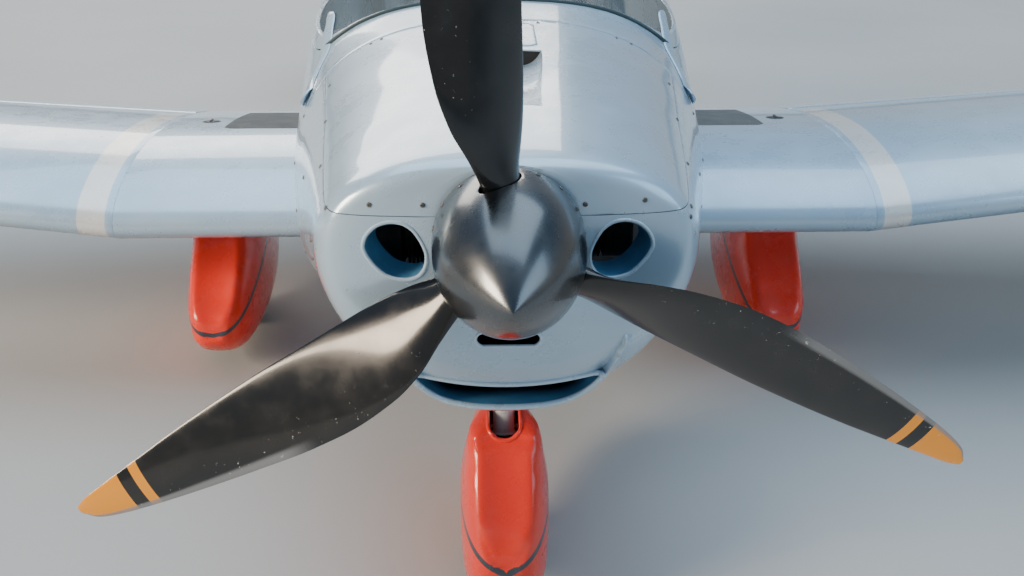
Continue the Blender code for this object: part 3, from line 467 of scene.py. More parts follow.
# body: the same sections as the solids, drawn through smoothly
body = {
    "rows": (  # station, half width, height of the widest point, underside, top, power above and below
        (0.060, 0.150, 1.045, 0.905, 1.166, 2.0, 2.0), (0.068, 0.235, 1.040, 0.862, 1.168, 2.1, 2.0),
        (0.082, 0.283, 1.030, 0.812, 1.171, 2.3, 2.0), (0.110, 0.304, 1.015, 0.768, 1.174, 2.4, 2.0),
        (0.150, 0.318, 1.000, 0.722, 1.177, 2.4, 2.0), (0.220, 0.332, 0.985, 0.655, 1.181, 2.45, 1.95),
        (0.350, 0.360, 0.950, 0.590, 1.188, 2.5, 1.85), (0.550, 0.402, 0.900, 0.525, 1.196, 2.5, 1.9),
        (0.800, 0.456, 0.820, 0.472, 1.205, 2.6, 2.2), (1.000, 0.502, 0.760, 0.450, 1.213, 2.6, 2.7),
        (1.180, 0.527, 0.750, 0.438, 1.230, 2.6, 3.0),
        (1.280, 0.537, 0.750, 0.434, 1.300, 2.5, 3.0), (1.400, 0.545, 0.750, 0.431, 1.400, 2.4, 3.0),
        (1.550, 0.551, 0.760, 0.430, 1.505, 2.3, 3.0), (1.750, 0.554, 0.770, 0.430, 1.605, 2.25, 3.0),
        (2.000, 0.552, 0.780, 0.432, 1.675, 2.2, 3.0), (2.250, 0.543, 0.790, 0.438, 1.690, 2.2, 2.9),
        (2.500, 0.524, 0.800, 0.450, 1.665, 2.2, 2.8), (2.750, 0.494, 0.820, 0.472, 1.610, 2.2, 2.7),
        (3.000, 0.452, 0.850, 0.505, 1.530, 2.2, 2.6), (3.350, 0.388, 0.890, 0.560, 1.410, 2.2, 2.4),
        (3.800, 0.305, 0.940, 0.640, 1.285, 2.1, 2.2), (4.400, 0.210, 0.990, 0.745, 1.190, 2.0, 2.0),
        (5.100, 0.130, 1.030, 0.850, 1.145, 2.0, 2.0), (5.800, 0.062, 1.045, 0.950, 1.125, 2.0, 2.0),
    ),
    "nose": 0.060, "seam": 1.084, "gap": 0.0014, "wall": 0.003, "firewall": 1.0, "hub": 1.05,
    "join": 3.25, "tail": 5.80, "tailMiddle": 1.04,
}
rowTable = np.array(body["rows"])
steps = np.linalg.norm(np.diff(rowTable[:, [0, 1, 3, 4]], axis=0), axis=1)
reachOf = np.concatenate([[0], np.cumsum(steps)])
dense = flowing(reachOf, rowTable)(np.linspace(0, reachOf[-1], 6000))


def rowsAt(s):
    return np.stack([np.interp(s, dense[:, 0], dense[:, k]) for k in range(7)], -1)


def arc(row, first, last, count, inset=0.0):
    _, half, mid, low, top, upPower, lowPower = row
    turn = np.linspace(first, last, 1201)
    c, d = np.cos(turn), np.sin(turn)
    power = np.where(d > 0, upPower, lowPower)
    reach = np.where(d > 0, top - mid, mid - low) - inset
    x = (half - inset) * np.sign(c) * np.abs(c) ** (2 / power)
    z = mid + reach * np.sign(d) * np.abs(d) ** (2 / power)
    return spaced(np.stack([x, z], -1), count)


def wideAt(s, z):  # half width of the body at a station and height
    row = rowsAt(s)
    _, half, mid, low, top, up, down = (row[..., k] for k in range(7))
    above = z > mid
    share = np.abs((z - mid) / np.where(above, top - mid, mid - low))
    power = np.where(above, up, down)
    return half * np.clip(1 - share**power, 0, None) ** (1 / power)


def topAt(s, x, under=False):  # height of the body's top or underside
    row = rowsAt(s)
    _, half, mid, low, top, up, down = (row[..., k] for k in range(7))
    power = down if under else up
    share = np.clip(1 - np.abs(x / half) ** power, 0, None) ** (1 / power)
    return mid - (mid - low) * share if under else mid + (top - mid) * share


def frontAt(x, z):  # station where the nose passes through a point seen from the front
    x, z = np.atleast_1d(x).astype(float), np.atleast_1d(z).astype(float)
    nose = dense[dense[:, 0] < 1.0]
    s, half, mid, low, top, up, down = (nose[:, k][:, None] for k in range(7))
    above = z[None] > mid
    reach = np.where(above, top - mid, mid - low)
    power = np.where(above, up, down)
    value = np.abs(x[None] / half) ** power + np.abs((z[None] - mid) / reach) ** power
    first = np.maximum(1, np.argmax(value <= 1, axis=0))
    pick = np.arange(len(x))
    a, b = value[first - 1, pick], value[first, pick]
    part = np.clip((a - 1) / np.where(np.abs(a - b) < 1e-9, 1, a - b), 0, 1)
    return nose[first - 1, 0] + part * (nose[first, 0] - nose[first - 1, 0])


chin = {
    "lip": 0.691, "rise": 0.078, "half": 0.169, "power": 5.0, "upper": 0.753, "upperRise": 0.014,
    "reach": 0.034, "wide": 0.215, "fade": 0.060, "roll": 0.0055,
}


def chinLip(x):  # height of the chin's lower lip
    return chin["lip"] + chin["rise"] * np.abs(x / chin["half"]) ** chin["power"]


def chinUpper(x):  # height of its upper lip
    return chin["upper"] + chin["upperRise"] * np.abs(x / chin["half"]) ** 2


def chinPush(x, z):  # how far the chin stands forward of the plain cowl
    lip, upper = chinLip(x), np.maximum(chinUpper(x), chinLip(x) + 0.012)
    wide = np.clip(1 - (np.abs(x) / chin["wide"]) ** 4, 0, None)
    above = 1 - smooth((z - lip - 0.004) / (upper - lip - 0.006))
    fade = np.where(z < lip, np.exp(-(((lip - z) / chin["fade"]) ** 2)), above)
    return chin["reach"] * wide * fade


def noseAt(x, z):  # station of the cowl's nose with its chin
    return frontAt(x, z) - chinPush(x, z)


def bodySolid(name, first, last, inset, rows=90, count=120):  # to cut with
    table = rowsAt(np.linspace(first, last, rows))
    return solid(name, [at(r[0], *arc(r, 0, 2 * math.pi, count + 1, inset)[:-1].T) for r in table])


def seamTurn(row, height):  # turn at which a section crosses a height
    share = np.clip((height - row[2]) / (row[4] - row[2]), 0, 1)
    return math.asin(share ** (row[5] / 2))


cowl = {
    "rows": 110, "count": 110, "crowd": 1.7, "rearGap": 0.0022, "hole": 0.0850, "chinEnd": 0.6,
    "chinTop": 0.86,
    "lip": (  # station and radius of the nose hole
        (0.078, 0.0785), (0.068, 0.0785), (0.0625, 0.0805), (0.0605, 0.0850),
    ),
}


def cowlHalf(name, upper):
    nose, count = body["nose"], cowl["count"]
    share = np.linspace(0, 1, cowl["rows"]) ** cowl["crowd"]
    stations = nose + (body["firewall"] - cowl["rearGap"] - nose) * share
    grid = []
    for row in rowsAt(stations):
        turn = seamTurn(row, body["seam"] + (body["gap"] if upper else -body["gap"]) / 2)
        if upper:
            flat = arc(row, turn, math.pi - turn, count)
        else:
            flat = arc(row, math.pi - turn, 2 * math.pi + turn, count * 2)
        s = np.full(len(flat), row[0])
        if not upper and row[0] < cowl["chinEnd"]:
            s = s - np.where(flat[:, 1] < cowl["chinTop"], chinPush(flat[:, 0], flat[:, 1]), 0)
        grid.append(at(s, flat[:, 0], flat[:, 1]))
    first, centre = grid[0], at(nose, 0, body["hub"])
    level = math.asin((body["seam"] - body["hub"]) / cowl["hole"])
    share = np.linspace(0, 1, len(first))
    turn = level + share * (math.pi - 2 * level) if upper else math.pi - level + share * (math.pi + 2 * level)
    out = np.stack([np.cos(turn), 0 * turn, np.sin(turn)], -1)
    hole = [centre + out * r + [0, s - nose, 0] for s, r in cowl["lip"]]
    ring = [hole[-1] + (first - hole[-1]) * t - [0, 0.0008 * math.sin(math.pi * t), 0] for t in (0.35, 0.7)]
    return walled(skin(name, hole + ring + grid, sharp=60), body["wall"])


def inlet(  # cutter, rolled edge and duct of an opening
    tag, ring, surface, roll, depths, sides=10, cutDeep=0.05,
):
    x, z = ring[:, 0], ring[:, 1]
    s = surface(x, z)
    centre = ring.mean(0)
    cutter = solid(tag + "_cutter", [at(s - 0.12, x, z), at(s + cutDeep, x, z)])
    edge = tube(tag + "_lip", at(s + roll * 0.35, x, z), roll, sides, closed=True)
    rows = []
    for deep, pinch, moveX, moveZ in depths:
        flat = centre + (ring - centre) * pinch + [moveX, moveZ]
        rows.append(at(s * (1 - deep[1]) + deep[1] * s.mean() + deep[0], flat[:, 0], flat[:, 1]))
    duct = skin(tag + "_duct", rows, True, sharp=60)
    return cutter, edge, duct


# the ducts' blue, darker than the silver paint: painted shade of the paint inside the openings
ductShadeBlue = (0.10, 0.30, 0.52)
# a lighter, bluer copy of the silver paint on the rolled lips of the openings: painted highlight along the
# lip edges
lipHighlightPaint = glossPaint("lip_painted_highlight", (0.52, 0.68, 0.80), (0.46, 0.62, 0.75), 0.2, 0.22, dust=0.15)


def shadedDuctPaint(name, dark):  # duct paint in painted shade that goes to near black deeper in, towards the engine bay
    look = Look(name, metallic=0.1, coatWeight=0.5, coatRoughness=0.2)
    depth = look.axis("Y") + shiftY
    grime = look.noise(22, 4)
    base = look.mix(grime.ramp(0.4, 0.75), ductShadeBlue, tuple(v * 0.75 for v in ductShadeBlue))
    # painted shade: near black beyond the two given depths
    look.gives("Base Color", look.mix(depth.ramp(dark[0], dark[1]), base, (0.004, 0.004, 0.005)))
    look.gives("Roughness", grime.ramp(0.3, 0.8, 0.35, 0.55))
    look.raised(grime, 0.2, 0.001)
    return look.material


cheekDuctShade = shadedDuctPaint("cheek_duct_painted_shade", (0.118, 0.128))
chinDuctShade = shadedDuctPaint("chin_duct_painted_shade", (0.165, 0.205))
slotDuctShade = shadedDuctPaint("slot_duct_painted_shade", (0.062, 0.078))
cheek = {
    "x": 0.1775, "z": 1.026, "halfX": 0.0500, "halfZ": 0.0490, "roll": 0.0034, "depth": 0.054, "lean": 0.013,
    "outline": (
        (-0.99, 0.15), (-0.88, 0.50), (-0.61, 0.80), (-0.31, 0.95), (0.0, 0.99), (0.32, 0.925), (0.60, 0.73),
        (0.81, 0.41), (0.96, 0.05),
        (1.0, -0.23), (0.94, -0.55), (0.75, -0.83), (0.49, -0.97), (0.22, -1.0), (-0.10, -0.95),
        (-0.42, -0.79), (-0.735, -0.445), (-0.925, -0.12),
    ),
}
upperCowl = cowlHalf("cowl_upper", True)
lowerCowl = cowlHalf("cowl_lower", False)
cutters = []
for side, tag in sides:
    ring = closedCurve(cheek["outline"], 90) * [cheek["halfX"], cheek["halfZ"]] + [-cheek["x"], cheek["z"]]
    ring = ring * [-side, 1]
    depths = []
    for t in (0, 0.2, 0.6, 1.0):
        move = -side * cheek["lean"] * t, 0.002 * t
        depths.append(((0.0035 + cheek["depth"] * t, 0.6 * t), 1 - 0.02 * t, *move))
    cutter, edge, duct = inlet("cheek_" + tag, ring, noseAt, cheek["roll"], depths)
    cutters.append(cutter)
    fitted(edge, lipHighlightPaint, slot="paint")
    fitted(walled(duct, 0.0015), cheekDuctShade, slot="paint", sharp=60)
half = chin["half"] - 0.003
across = np.sin(np.linspace(-math.pi / 2, math.pi / 2, 81)) * half
lower, upper = chinLip(across) + 0.002, chinUpper(across[::-1])
mouth = np.concatenate([np.stack([across, lower], -1), np.stack([across[::-1], upper], -1)[1:-1]])
mouth[:, 1] = np.maximum(mouth[:, 1], chinLip(mouth[:, 0]) + 0.002)


def mouthFace(x, z):  # the chin's face across the open mouth
    push = chin["reach"] * np.clip(1 - (np.abs(x) / chin["wide"]) ** 4, 0, None)
    return frontAt(x, z) - push * (1 - smooth((z - chinLip(x) - 0.006) / (chinUpper(x) - chinLip(x) + 0.004)))


depths = [((0.003 + 0.13 * t, 0.8 * t), 1 - 0.06 * t, 0, 0.006 * t) for t in (0, 0.12, 0.4, 1.0)]
cutter, edge, duct = inlet("chin", mouth, mouthFace, chin["roll"], depths, 12, 0.10)
cutters.append(cutter)
fitted(edge, lipHighlightPaint, slot="paint")
fitted(walled(duct, 0.0015), chinDuctShade, slot="paint", sharp=60)
slot = {"z": 0.867, "half": 0.054, "round": 0.0145}
turns = turnsOf(48, 0.5)
slotRing = np.stack([np.sign(np.cos(turns)) * (slot["half"] - slot["round"]), 0 * turns + slot["z"]], -1)
slotRing += slot["round"] * np.stack([np.cos(turns), np.sin(turns)], -1)
depths = [((0.002 + 0.055 * t, t), 1 - 0.05 * t, 0, 0) for t in (0, 0.3, 1.0)]
cutter, edge, duct = inlet("slot", slotRing, noseAt, 0.0030, depths)
cutters.append(cutter)
fitted(edge, lipHighlightPaint, slot="paint")
fitted(walled(duct, 0.0012), slotDuctShade, slot="paint", sharp=60)
cutters.append(edged(blockOf("leg_slot", (0.495, 0.655), (-0.036, 0.036), (0.3, 0.62)), 0.03, 4))
exhaust = {"s": 0.72, "x": 0.16, "low": 0.401, "hole": 0.030}
hole = ((0, 0.0001), (0, exhaust["hole"]), (0.5, exhaust["hole"]), (0.5, 0.0001))
cutters.append(spun("exhaust_hole", hole, at(exhaust["s"], exhaust["x"], 0.3), (0, 0, 1), 32))
carved(lowerCowl, *cutters, solver="EXACT")
edged(lowerCowl, 0.0006, 2, 50)
fitted(lowerCowl, paint, "lower_cowl", slot="paint")

naca = {"front": 0.33, "mouth": 0.722, "narrow": 0.066, "wide": 0.084, "deep": 0.034}  # sunk duct on the deck
stations = np.linspace(naca["front"], naca["mouth"], 30)
part = (stations - naca["front"]) / (naca["mouth"] - naca["front"])
wide = naca["narrow"] + (naca["wide"] - naca["narrow"]) * smooth(part)
deep = naca["deep"] * part**1.9 + 0.0003
cutRows, floorRows = [], []
for s, w, d in zip(stations, wide, deep):
    u = np.linspace(-1, 1, 33)
    sunk = d * (1 - np.abs(u) ** 5)
    x = u * w
    crown = topAt(np.full(33, s), x)
    floorRows.append(at(s, x, crown - sunk))
    cutRows.append(np.concatenate([at(s, x, crown - sunk), at(s, x[::-1], crown[::-1] + 0.05)]))
carved(upperCowl, solid("deck_duct_cutter", cutRows))
edged(upperCowl, 0.0022, 3, 40)
fitted(upperCowl, paint, "upper_cowl", slot="paint")
fitted(walled(skin("deck_duct_floor", floorRows), 0.0015), paint, slot="paint")
# a black sheet across the rear of the sunk duct: painted shade in its mouth
across = np.linspace(-1, 1, 9)
backS = naca["mouth"] + 0.002
crown = topAt(backS, across * naca["wide"])
back = [at(backS, across * naca["wide"] * 0.97, crown - k) for k in (0.004, 0.038)]
fitted(walled(skin("deck_duct_back", back), 0.002), blackGap, slot="black")


def roundIn(near, radius):  # how far a rounded corner pulls an edge in, near its end
    return radius - math.sqrt(max(0, radius**2 - max(0, radius - near) ** 2))


# oil filler hatch behind the duct
hatch = {"front": 0.752, "rear": 0.965, "half": 0.078, "round": 0.018, "proud": 0.0016}
hatchRows = []
for t in np.linspace(0, 1, 15):
    s = hatch["front"] + (hatch["rear"] - hatch["front"]) * t
    near = min(t, 1 - t) * (hatch["rear"] - hatch["front"])
    x = np.linspace(-1, 1, 15) * (hatch["half"] - roundIn(near, hatch["round"]))
    hatchRows.append(at(s, x, topAt(np.full(15, s), x) + hatch["proud"]))
fitted(edged(walled(skin("oil_hatch", hatchRows), 0.003), 0.0008, 2, 50), paint, slot="paint")
say("cowl")

# fuselage and canopy
canopy = {
    "line": (  # lower edge of the frame, then the window's: station and height
        (1.168, 1.236), (1.188, 1.214), (1.204, 1.175), (1.215, 1.135), (1.232, 1.102), (1.275, 1.09),
        (2.66, 1.09), (2.78, 1.13), (2.90, 1.24),
    ),
    "window": (
        (1.170, 1.250), (1.196, 1.222), (1.214, 1.180), (1.228, 1.145), (1.262, 1.120),
        (2.625, 1.120), (2.800, 1.300),
    ),
    "gap": 0.003, "frameWall": 0.009, "paneWall": 0.004, "front": 1.14, "rear": 2.90, "paneRear": 2.84,
    "open": 0.02,
}


def sideCutter(name, points):  # closes a side line over the top and pushes it through the body
    roof = 2.3
    return pushed(name, [*points, (points[-1][0], roof), (points[0][0], roof)], (-1.2, 1.2))


def softened(points, reach=0.035, steps=5):  # rounds the corners of a side line
    out = [points[0]]
    for a, b, c in zip(points, points[1:], points[2:]):
        a, b, c = Vector(a), Vector(b), Vector(c)
        p = b + (a - b).normalized() * min(reach, (a - b).length / 2)
        q = b + (c - b).normalized() * min(reach, (c - b).length / 2)
        out += [tuple(p * (1 - t) ** 2 + b * 2 * t * (1 - t) + q * t * t) for t in np.linspace(0, 1, steps)]
    return out + [points[-1]]


def bodyShell(name, first, last, inset, thick, rows, count, turnFrom=0.0, turnTo=2 * math.pi):
    full = turnTo - turnFrom > 6.28
    grid = []
    for row in rowsAt(np.linspace(first, last, rows)):
        flat = arc(row, turnFrom, turnTo, count + full, inset)
        grid.append(at(row[0], *flat[: count if full else None].T))
    return walled(skin(name, grid, full, sharp=60), thick)


tub = bodyShell("fuselage_shell", body["firewall"] - 0.0004, body["join"], 0, 0.005, 130, 150)
sideLine = softened([(1.150, 1.290), *canopy["line"]])
opening = [(s - canopy["gap"] * 0.5, z - canopy["gap"]) for s, z in sideLine[:-1]]
opening.append((canopy["rear"] + canopy["gap"], sideLine[-1][1]))
carved(tub, sideCutter("tub_opening", opening))
tail = bodyShell("fuselage_tail", body["join"] + 0.0018, body["tail"], 0, 0.004, 64, 96)
tailRing = arc(rowsAt(body["tail"]), 0, 2 * math.pi, 61)[:-1]
capRows = [at(body["tail"] - 0.0005, *tailRing.T)]
for t in (0.5, 1.0, 1.4):
    flat = [0, body["tailMiddle"]] + (tailRing - [0, body["tailMiddle"]]) * math.cos(t)
    capRows.append(at(body["tail"] + 0.010 * math.sin(t), *flat.T))
tailCap = skin("tail_cap", capRows, True, caps="b")
fitted(edged(tub, 0.0008, 2, 45), paint, "fuselage", slot="paint")
fitted(tail, paint, slot="paint")
fitted(tailCap, paint, slot="paint")

turns = canopy["open"], math.pi - canopy["open"]
bubble = bodyShell("canopy_rails", canopy["front"], canopy["rear"], 0, canopy["frameWall"], 150, 140, *turns)
window = softened([(1.160, 1.330), *canopy["window"]], 0.05, 6)
carved(bubble, sideCutter("canopy_edge", sideLine), how="INTERSECT")
carved(bubble, sideCutter("window_edge", window))
fitted(edged(bubble, 0.0015, 2, 45), paint, "canopy_frame", body="canopy", slot="paint")
pane = bodyShell(
    "canopy_pane", canopy["front"], canopy["paneRear"], 0.0025, canopy["paneWall"], 120, 120, *turns,
)
carved(pane, sideCutter("pane_edge", [(s, z + 0.0006) for s, z in window]), how="INTERSECT")
glass = Look("canopy_glass_look", baseColor=(0.30, 0.37, 0.40), roughness=0.02, ior=1.45, coatWeight=0.0)
haze = glass.noise(6, 4)
glass.gives("Alpha", haze.ramp(0.35, 0.75, 0.10, 0.15) + abs(glass.axis("X")) * 0.03)
glass.gives("Roughness", haze.ramp(0.4, 0.8, 0.015, 0.06))
fitted(pane, glass.material, "canopy_glass", body="canopy", slot="glazing", sharp=60)

sealLook = plainLook(
    "windscreen_seal", (0.008, 0.030, 0.036), (0.014, 0.042, 0.050), 0.4, grain=300, coat=0.4,
)
front = np.array([q for q in softened([(1.150, 1.290), *canopy["line"][:6]], 0.02, 6) if q[0] < 1.24])
front = spaced(front, 160)
crown = topAt(front[:, 0], 0 * front[:, 0])
front = front[front[:, 1] < crown]
x = wideAt(front[:, 0], front[:, 1])
x[0] = 0
half = at(front[:, 0] - 0.002, x, front[:, 1])
strip = spaced(np.concatenate([half[::-1], half[1:] * [-1, 1, 1]]), 90)
fitted(tube("windscreen_seal", strip, 0.0058, 10), sealLook, slot="trim")
say("fuselage and canopy")

arms = {  # hinge arms along the body's sides: station, height, half width, how far they stand out
    "rows": (
        (1.030, 1.020, 0.010, 0.006), (1.050, 1.021, 0.021, 0.011), (1.085, 1.026, 0.022, 0.011),
        (1.14, 1.052, 0.018, 0.009), (1.20, 1.090, 0.017, 0.008), (1.26, 1.128, 0.016, 0.008),
        (1.32, 1.164, 0.012, 0.007), (1.345, 1.170, 0.004, 0.003),
    ),
    "lift": 0.0012, "hinge": (1.05, 1.02), "opens": 56,
}


def armInside(s, height):  # nearest that an arm may come to the body on its whole way up
    turn = np.radians(np.linspace(0, arms["opens"], 15))[:, None]
    pinS, pinZ = arms["hinge"]
    back, rise = s - pinS, height[None] - pinZ
    wayS = pinS + back * np.cos(turn) - rise * np.sin(turn)
    wayZ = pinZ + back * np.sin(turn) + rise * np.cos(turn)
    return wideAt(wayS, wayZ).max(0) + arms["lift"]


armPath = flowing([r[0] for r in arms["rows"]], arms["rows"])(np.linspace(1.030, 1.345, 46))
for side, tag in sides:
    rows = []
    for s, z, half, proud in armPath:
        turn = np.linspace(-math.pi / 2, math.pi / 2, 13)
        height = z + half * np.sin(turn)
        flat = armInside(s, height)
        over = np.concatenate([flat + proud * np.cos(turn) ** 0.7, flat[::-1][1:-1]])
        rows.append(at(s, side * over, np.concatenate([height, height[::-1][1:-1]])))
    arm = solid("canopy_hinge_arm_" + tag, rows, 50)
    fitted(arm, paint, "canopy_arm_" + tag, body="canopy", slot="paint")
say("canopy arms")


# wings
wing = {
    "leadS": 1.37, "leadZ": 0.565, "chord": 1.45, "tipChord": 0.90, "sweep": 0.17, "thick": 0.150,
    "tipThick": 0.120,
    "camber": 0.03, "incidence": 2.0, "kink": 1.10, "dihedral": 5.5, "half": 4.5, "tipCap": 4.28,
    "flapEnd": 2.62,
    "hinge": 0.74, "gap": 0.008,
    "end": (  # tip's x, scale
        (4.2806, 1.0), (4.34, 0.985), (4.40, 0.93), (4.45, 0.82), (4.485, 0.66), (4.4999, 0.47),
    ),
}


def wingAt(x):  # leading edge's station and height, chord and thickness
    t = max(0.0, (x - wing["kink"]) / (wing["half"] - wing["kink"]))
    rise = max(0.0, x - wing["kink"]) * math.tan(math.radians(wing["dihedral"]))
    chord = wing["chord"] + (wing["tipChord"] - wing["chord"]) * t
    thick = wing["thick"] + (wing["tipThick"] - wing["thick"]) * t
    return wing["leadS"] + wing["sweep"] * t, wing["leadZ"] + rise, chord, thick


# a wing section as a loop of (back, up), from the rear over the top to the nose and back
def foil(chord, thick, camber=wing["camber"], incidence=wing["incidence"], count=34, cut=1.0, blunt=0.0):
    u = cut * (1 - np.cos(math.pi * np.arange(count + 1) / count)) / 2
    t = 5 * thick * (0.2969 * np.sqrt(u) - 0.126 * u - 0.3516 * u**2 + 0.2843 * u**3 - 0.1015 * u**4)
    t = t + blunt / chord * u
    peak = 0.4  # place of the highest camber
    before = camber / peak**2 * (2 * peak * u - u * u)
    behind = camber / (1 - peak) ** 2 * (1 - 2 * peak + 2 * peak * u - u * u)
    line = np.where(u < peak, before, behind)
    across = np.concatenate([u[::-1], u[1:]])
    rise = np.concatenate([(line + t)[::-1], (line - t)[1:]])
    c, d = math.cos(math.radians(incidence)), math.sin(math.radians(incidence))
    return np.stack([chord * (across * c + rise * d), chord * (rise * c - across * d)], -1)


# middle and half height of the section at a share of its chord
def foilMiddle(chord, thick, share, camber=wing["camber"], incidence=wing["incidence"]):
    loop = foil(chord, thick, camber, incidence, 1, share)
    return (loop[0] + loop[-1]) / 2, np.linalg.norm(loop[0] - loop[-1]) / 2


# rear part of the section, round about its hinge
def hingedLoop(chord, thick, share, camber=wing["camber"], incidence=wing["incidence"], count=14):
    middle, radius = foilMiddle(chord, thick, share, camber, incidence)
    upper, lower = [], []
    for k in range(1, count + 1):
        loop = foil(chord, thick, camber, incidence, 1, share + (1 - share) * k / count)
        upper.append(loop[0])
        lower.append(loop[-1])
    lean = math.radians(90 - incidence)
    turns = [lean + math.pi * k / 14 for k in range(15)]
    nose = [middle + radius * np.array([math.cos(t), math.sin(t)]) for t in turns]
    rear, edge = (upper[-1] + lower[-1]) / 2, [0, 0.0013]
    return np.array([rear + edge] + upper[-2::-1] + nose + lower[:-1] + [rear - edge])


def wingRow(x, side, loop):  # a section set at its place along the wing
    s, z, _, _ = wingAt(x)
    return at(s + loop[:, 0], side * x, z + loop[:, 1])


def panelLoop(x):  # the fixed part of the outer wing
    _, _, chord, thick = wingAt(x)
    _, radius = foilMiddle(chord, thick, wing["hinge"])
    return foil(chord, thick, cut=wing["hinge"] - (radius + wing["gap"]) / chord)


blunt = 0.0013  # height of the trailing edge
for side, tag in sides:
    loop = foil(wing["chord"], wing["thick"], blunt=blunt)
    spans = np.linspace(0.40, wing["kink"] - 0.0006, 14)
    root = solid("wing_stub_" + tag, [wingRow(x, side, loop) for x in spans])
    carved(root, bodySolid("body_cutter", 1.2, 3.1, 0.0035))
    fitted(root, paint, "wing_root_" + tag, slot="paint")
    ahead = np.gradient(loop, axis=0)  # from here the fillet where wing and body meet
    normal = np.stack([ahead[:, 1], -ahead[:, 0]], -1)
    normal /= np.linalg.norm(normal, axis=1)[:, None]
    if normal[len(loop) // 4][1] < 0:
        normal = -normal
    s0, z0 = wing["leadS"] + loop[:, 0], wing["leadZ"] + loop[:, 1]
    reach = 0.045 * np.clip((loop[:, 0] + 0.02) / 0.10, 0.35, 1) * np.where(normal[:, 1] < 0, 0.6, 1.0)
    s1, z1 = s0 + normal[:, 0] * reach, z0 + normal[:, 1] * reach
    x0, x1 = wideAt(s0, z0), wideAt(s1, np.maximum(z1, 0.4335))
    rows = []
    for t in np.linspace(0, 1, 9):
        a, b, c = (1 - t) ** 2, 2 * t * (1 - t), t * t
        x = side * (a * (x0 + reach) + b * (x0 + 0.001) + c * (x1 - 0.0005))
        rows.append(at(a * s0 + b * s0 + c * s1, x, a * z0 + b * z0 + c * z1))
    fitted(walled(skin("wing_fillet_" + tag, rows, sharp=60), 0.0012), paint, slot="paint", sharp=60)
    spans = [wing["kink"], *np.linspace(wing["kink"] + 0.02, wing["tipCap"] - 0.001, 40)]
    panel = solid("outer_wing_" + tag, [wingRow(x, side, panelLoop(x)) for x in spans])
    fitted(edged(panel, 0.0008, 2, 50), paint, "wing_panel_" + tag, slot="paint")
    capRows = []
    s, _, chord, thick = wingAt(wing["tipCap"])
    loop = foil(chord, thick, blunt=blunt)
    for x, scale in flowing(range(6), wing["end"])(np.linspace(0, 5, 26)):
        back = s + chord * 0.45 * (1 - scale) + loop[:, 0] * scale
        capRows.append(at(back, side * x, wingAt(x)[1] + loop[:, 1] * scale**1.15))
    fitted(solid("wing_end_" + tag, capRows), paint, "wing_tip_" + tag, slot="paint")
    for node, first, last in (
        ("flap", wing["kink"] + 0.02, wing["flapEnd"]),
        ("aileron", wing["flapEnd"] + 0.012, wing["tipCap"] - 0.012),
    ):
        spread = np.linspace(first, last, 24)
        rows = [wingRow(x, side, hingedLoop(*wingAt(x)[2:], wing["hinge"])) for x in spread]
        surface, moving = solid(node + "_surface_" + tag, rows), node + "_" + tag
        fitted(edged(surface, 0.0012, 2, 60), paint, moving, body=moving, slot="paint")
say("wings")

# tail
tailPlane = {
    "half": 1.35, "leadS": 5.08, "height": 1.075, "chord": 0.74, "tipChord": 0.52, "hinge": 0.62,
    "thick": 0.09,
    "gap": 0.008, "finFoot": (0.99, 4.86, 6.20), "finTop": (1.96, 5.56, 6.17), "finThick": 0.075,
    "rudderShare": (0.735, 0.66), "fillet": 0.42, "pipe": 0.008,
}
sweep = tailPlane["hinge"] * (tailPlane["chord"] - tailPlane["tipChord"])


def tailAt(x):
    t = x / tailPlane["half"]
    chord = tailPlane["chord"] + (tailPlane["tipChord"] - tailPlane["chord"]) * t
    return tailPlane["leadS"] + sweep * t, chord


def tailRow(x, side, loop, squeeze=1.0):
    return at(tailAt(x)[0] + loop[:, 0], side * x, tailPlane["height"] + loop[:, 1] * squeeze)


def fixedShare(chord, thick, share):  # where the fixed part ends in front of a hinge
    _, radius = foilMiddle(chord, thick, share, 0, 0)
    return share - (radius + tailPlane["gap"]) / chord


def fixedLoop(chord, thick, share):
    return foil(chord, thick, 0, 0, 22, fixedShare(chord, thick, share))


for side, tag in sides:
    thick, hinge, half = tailPlane["thick"], tailPlane["hinge"], tailPlane["half"]
    rows = []
    for x in np.concatenate([np.linspace(0.02, 1.325, 22), [1.34, 1.347, half]]):
        squeeze = 1 - 0.35 * max(0, (x - 1.325) / 0.025) ** 2
        rows.append(tailRow(x, side, fixedLoop(tailAt(x)[1], thick, hinge), squeeze))
    plane = solid("tailplane_" + tag, rows)
    carved(plane, bodySolid("body_cutter", 4.2, 5.79, 0.002, 50, 80))
    fitted(plane, paint, "stabilizer_" + tag, slot="paint")
    spread = np.linspace(0.16, half, 22)
    rows = [tailRow(x, side, hingedLoop(tailAt(x)[1], thick, hinge, 0, 0, 10)) for x in spread]
    moving = edged(solid("elevator_half_" + tag, rows), 0.0015, 2, 60)
    pinS = tailPlane["leadS"] + hinge * tailPlane["chord"]
    ends = [at(pinS, side * x, tailPlane["height"]) for x in (0.0839, 0.165)]
    pipe = tube("pipe", ends, tailPlane["pipe"], 20)
    fitted(
        joined("elevator_half_" + tag, moving, pipe), paint, "elevator_" + tag, body="elevator",
        slot="paint",
    )

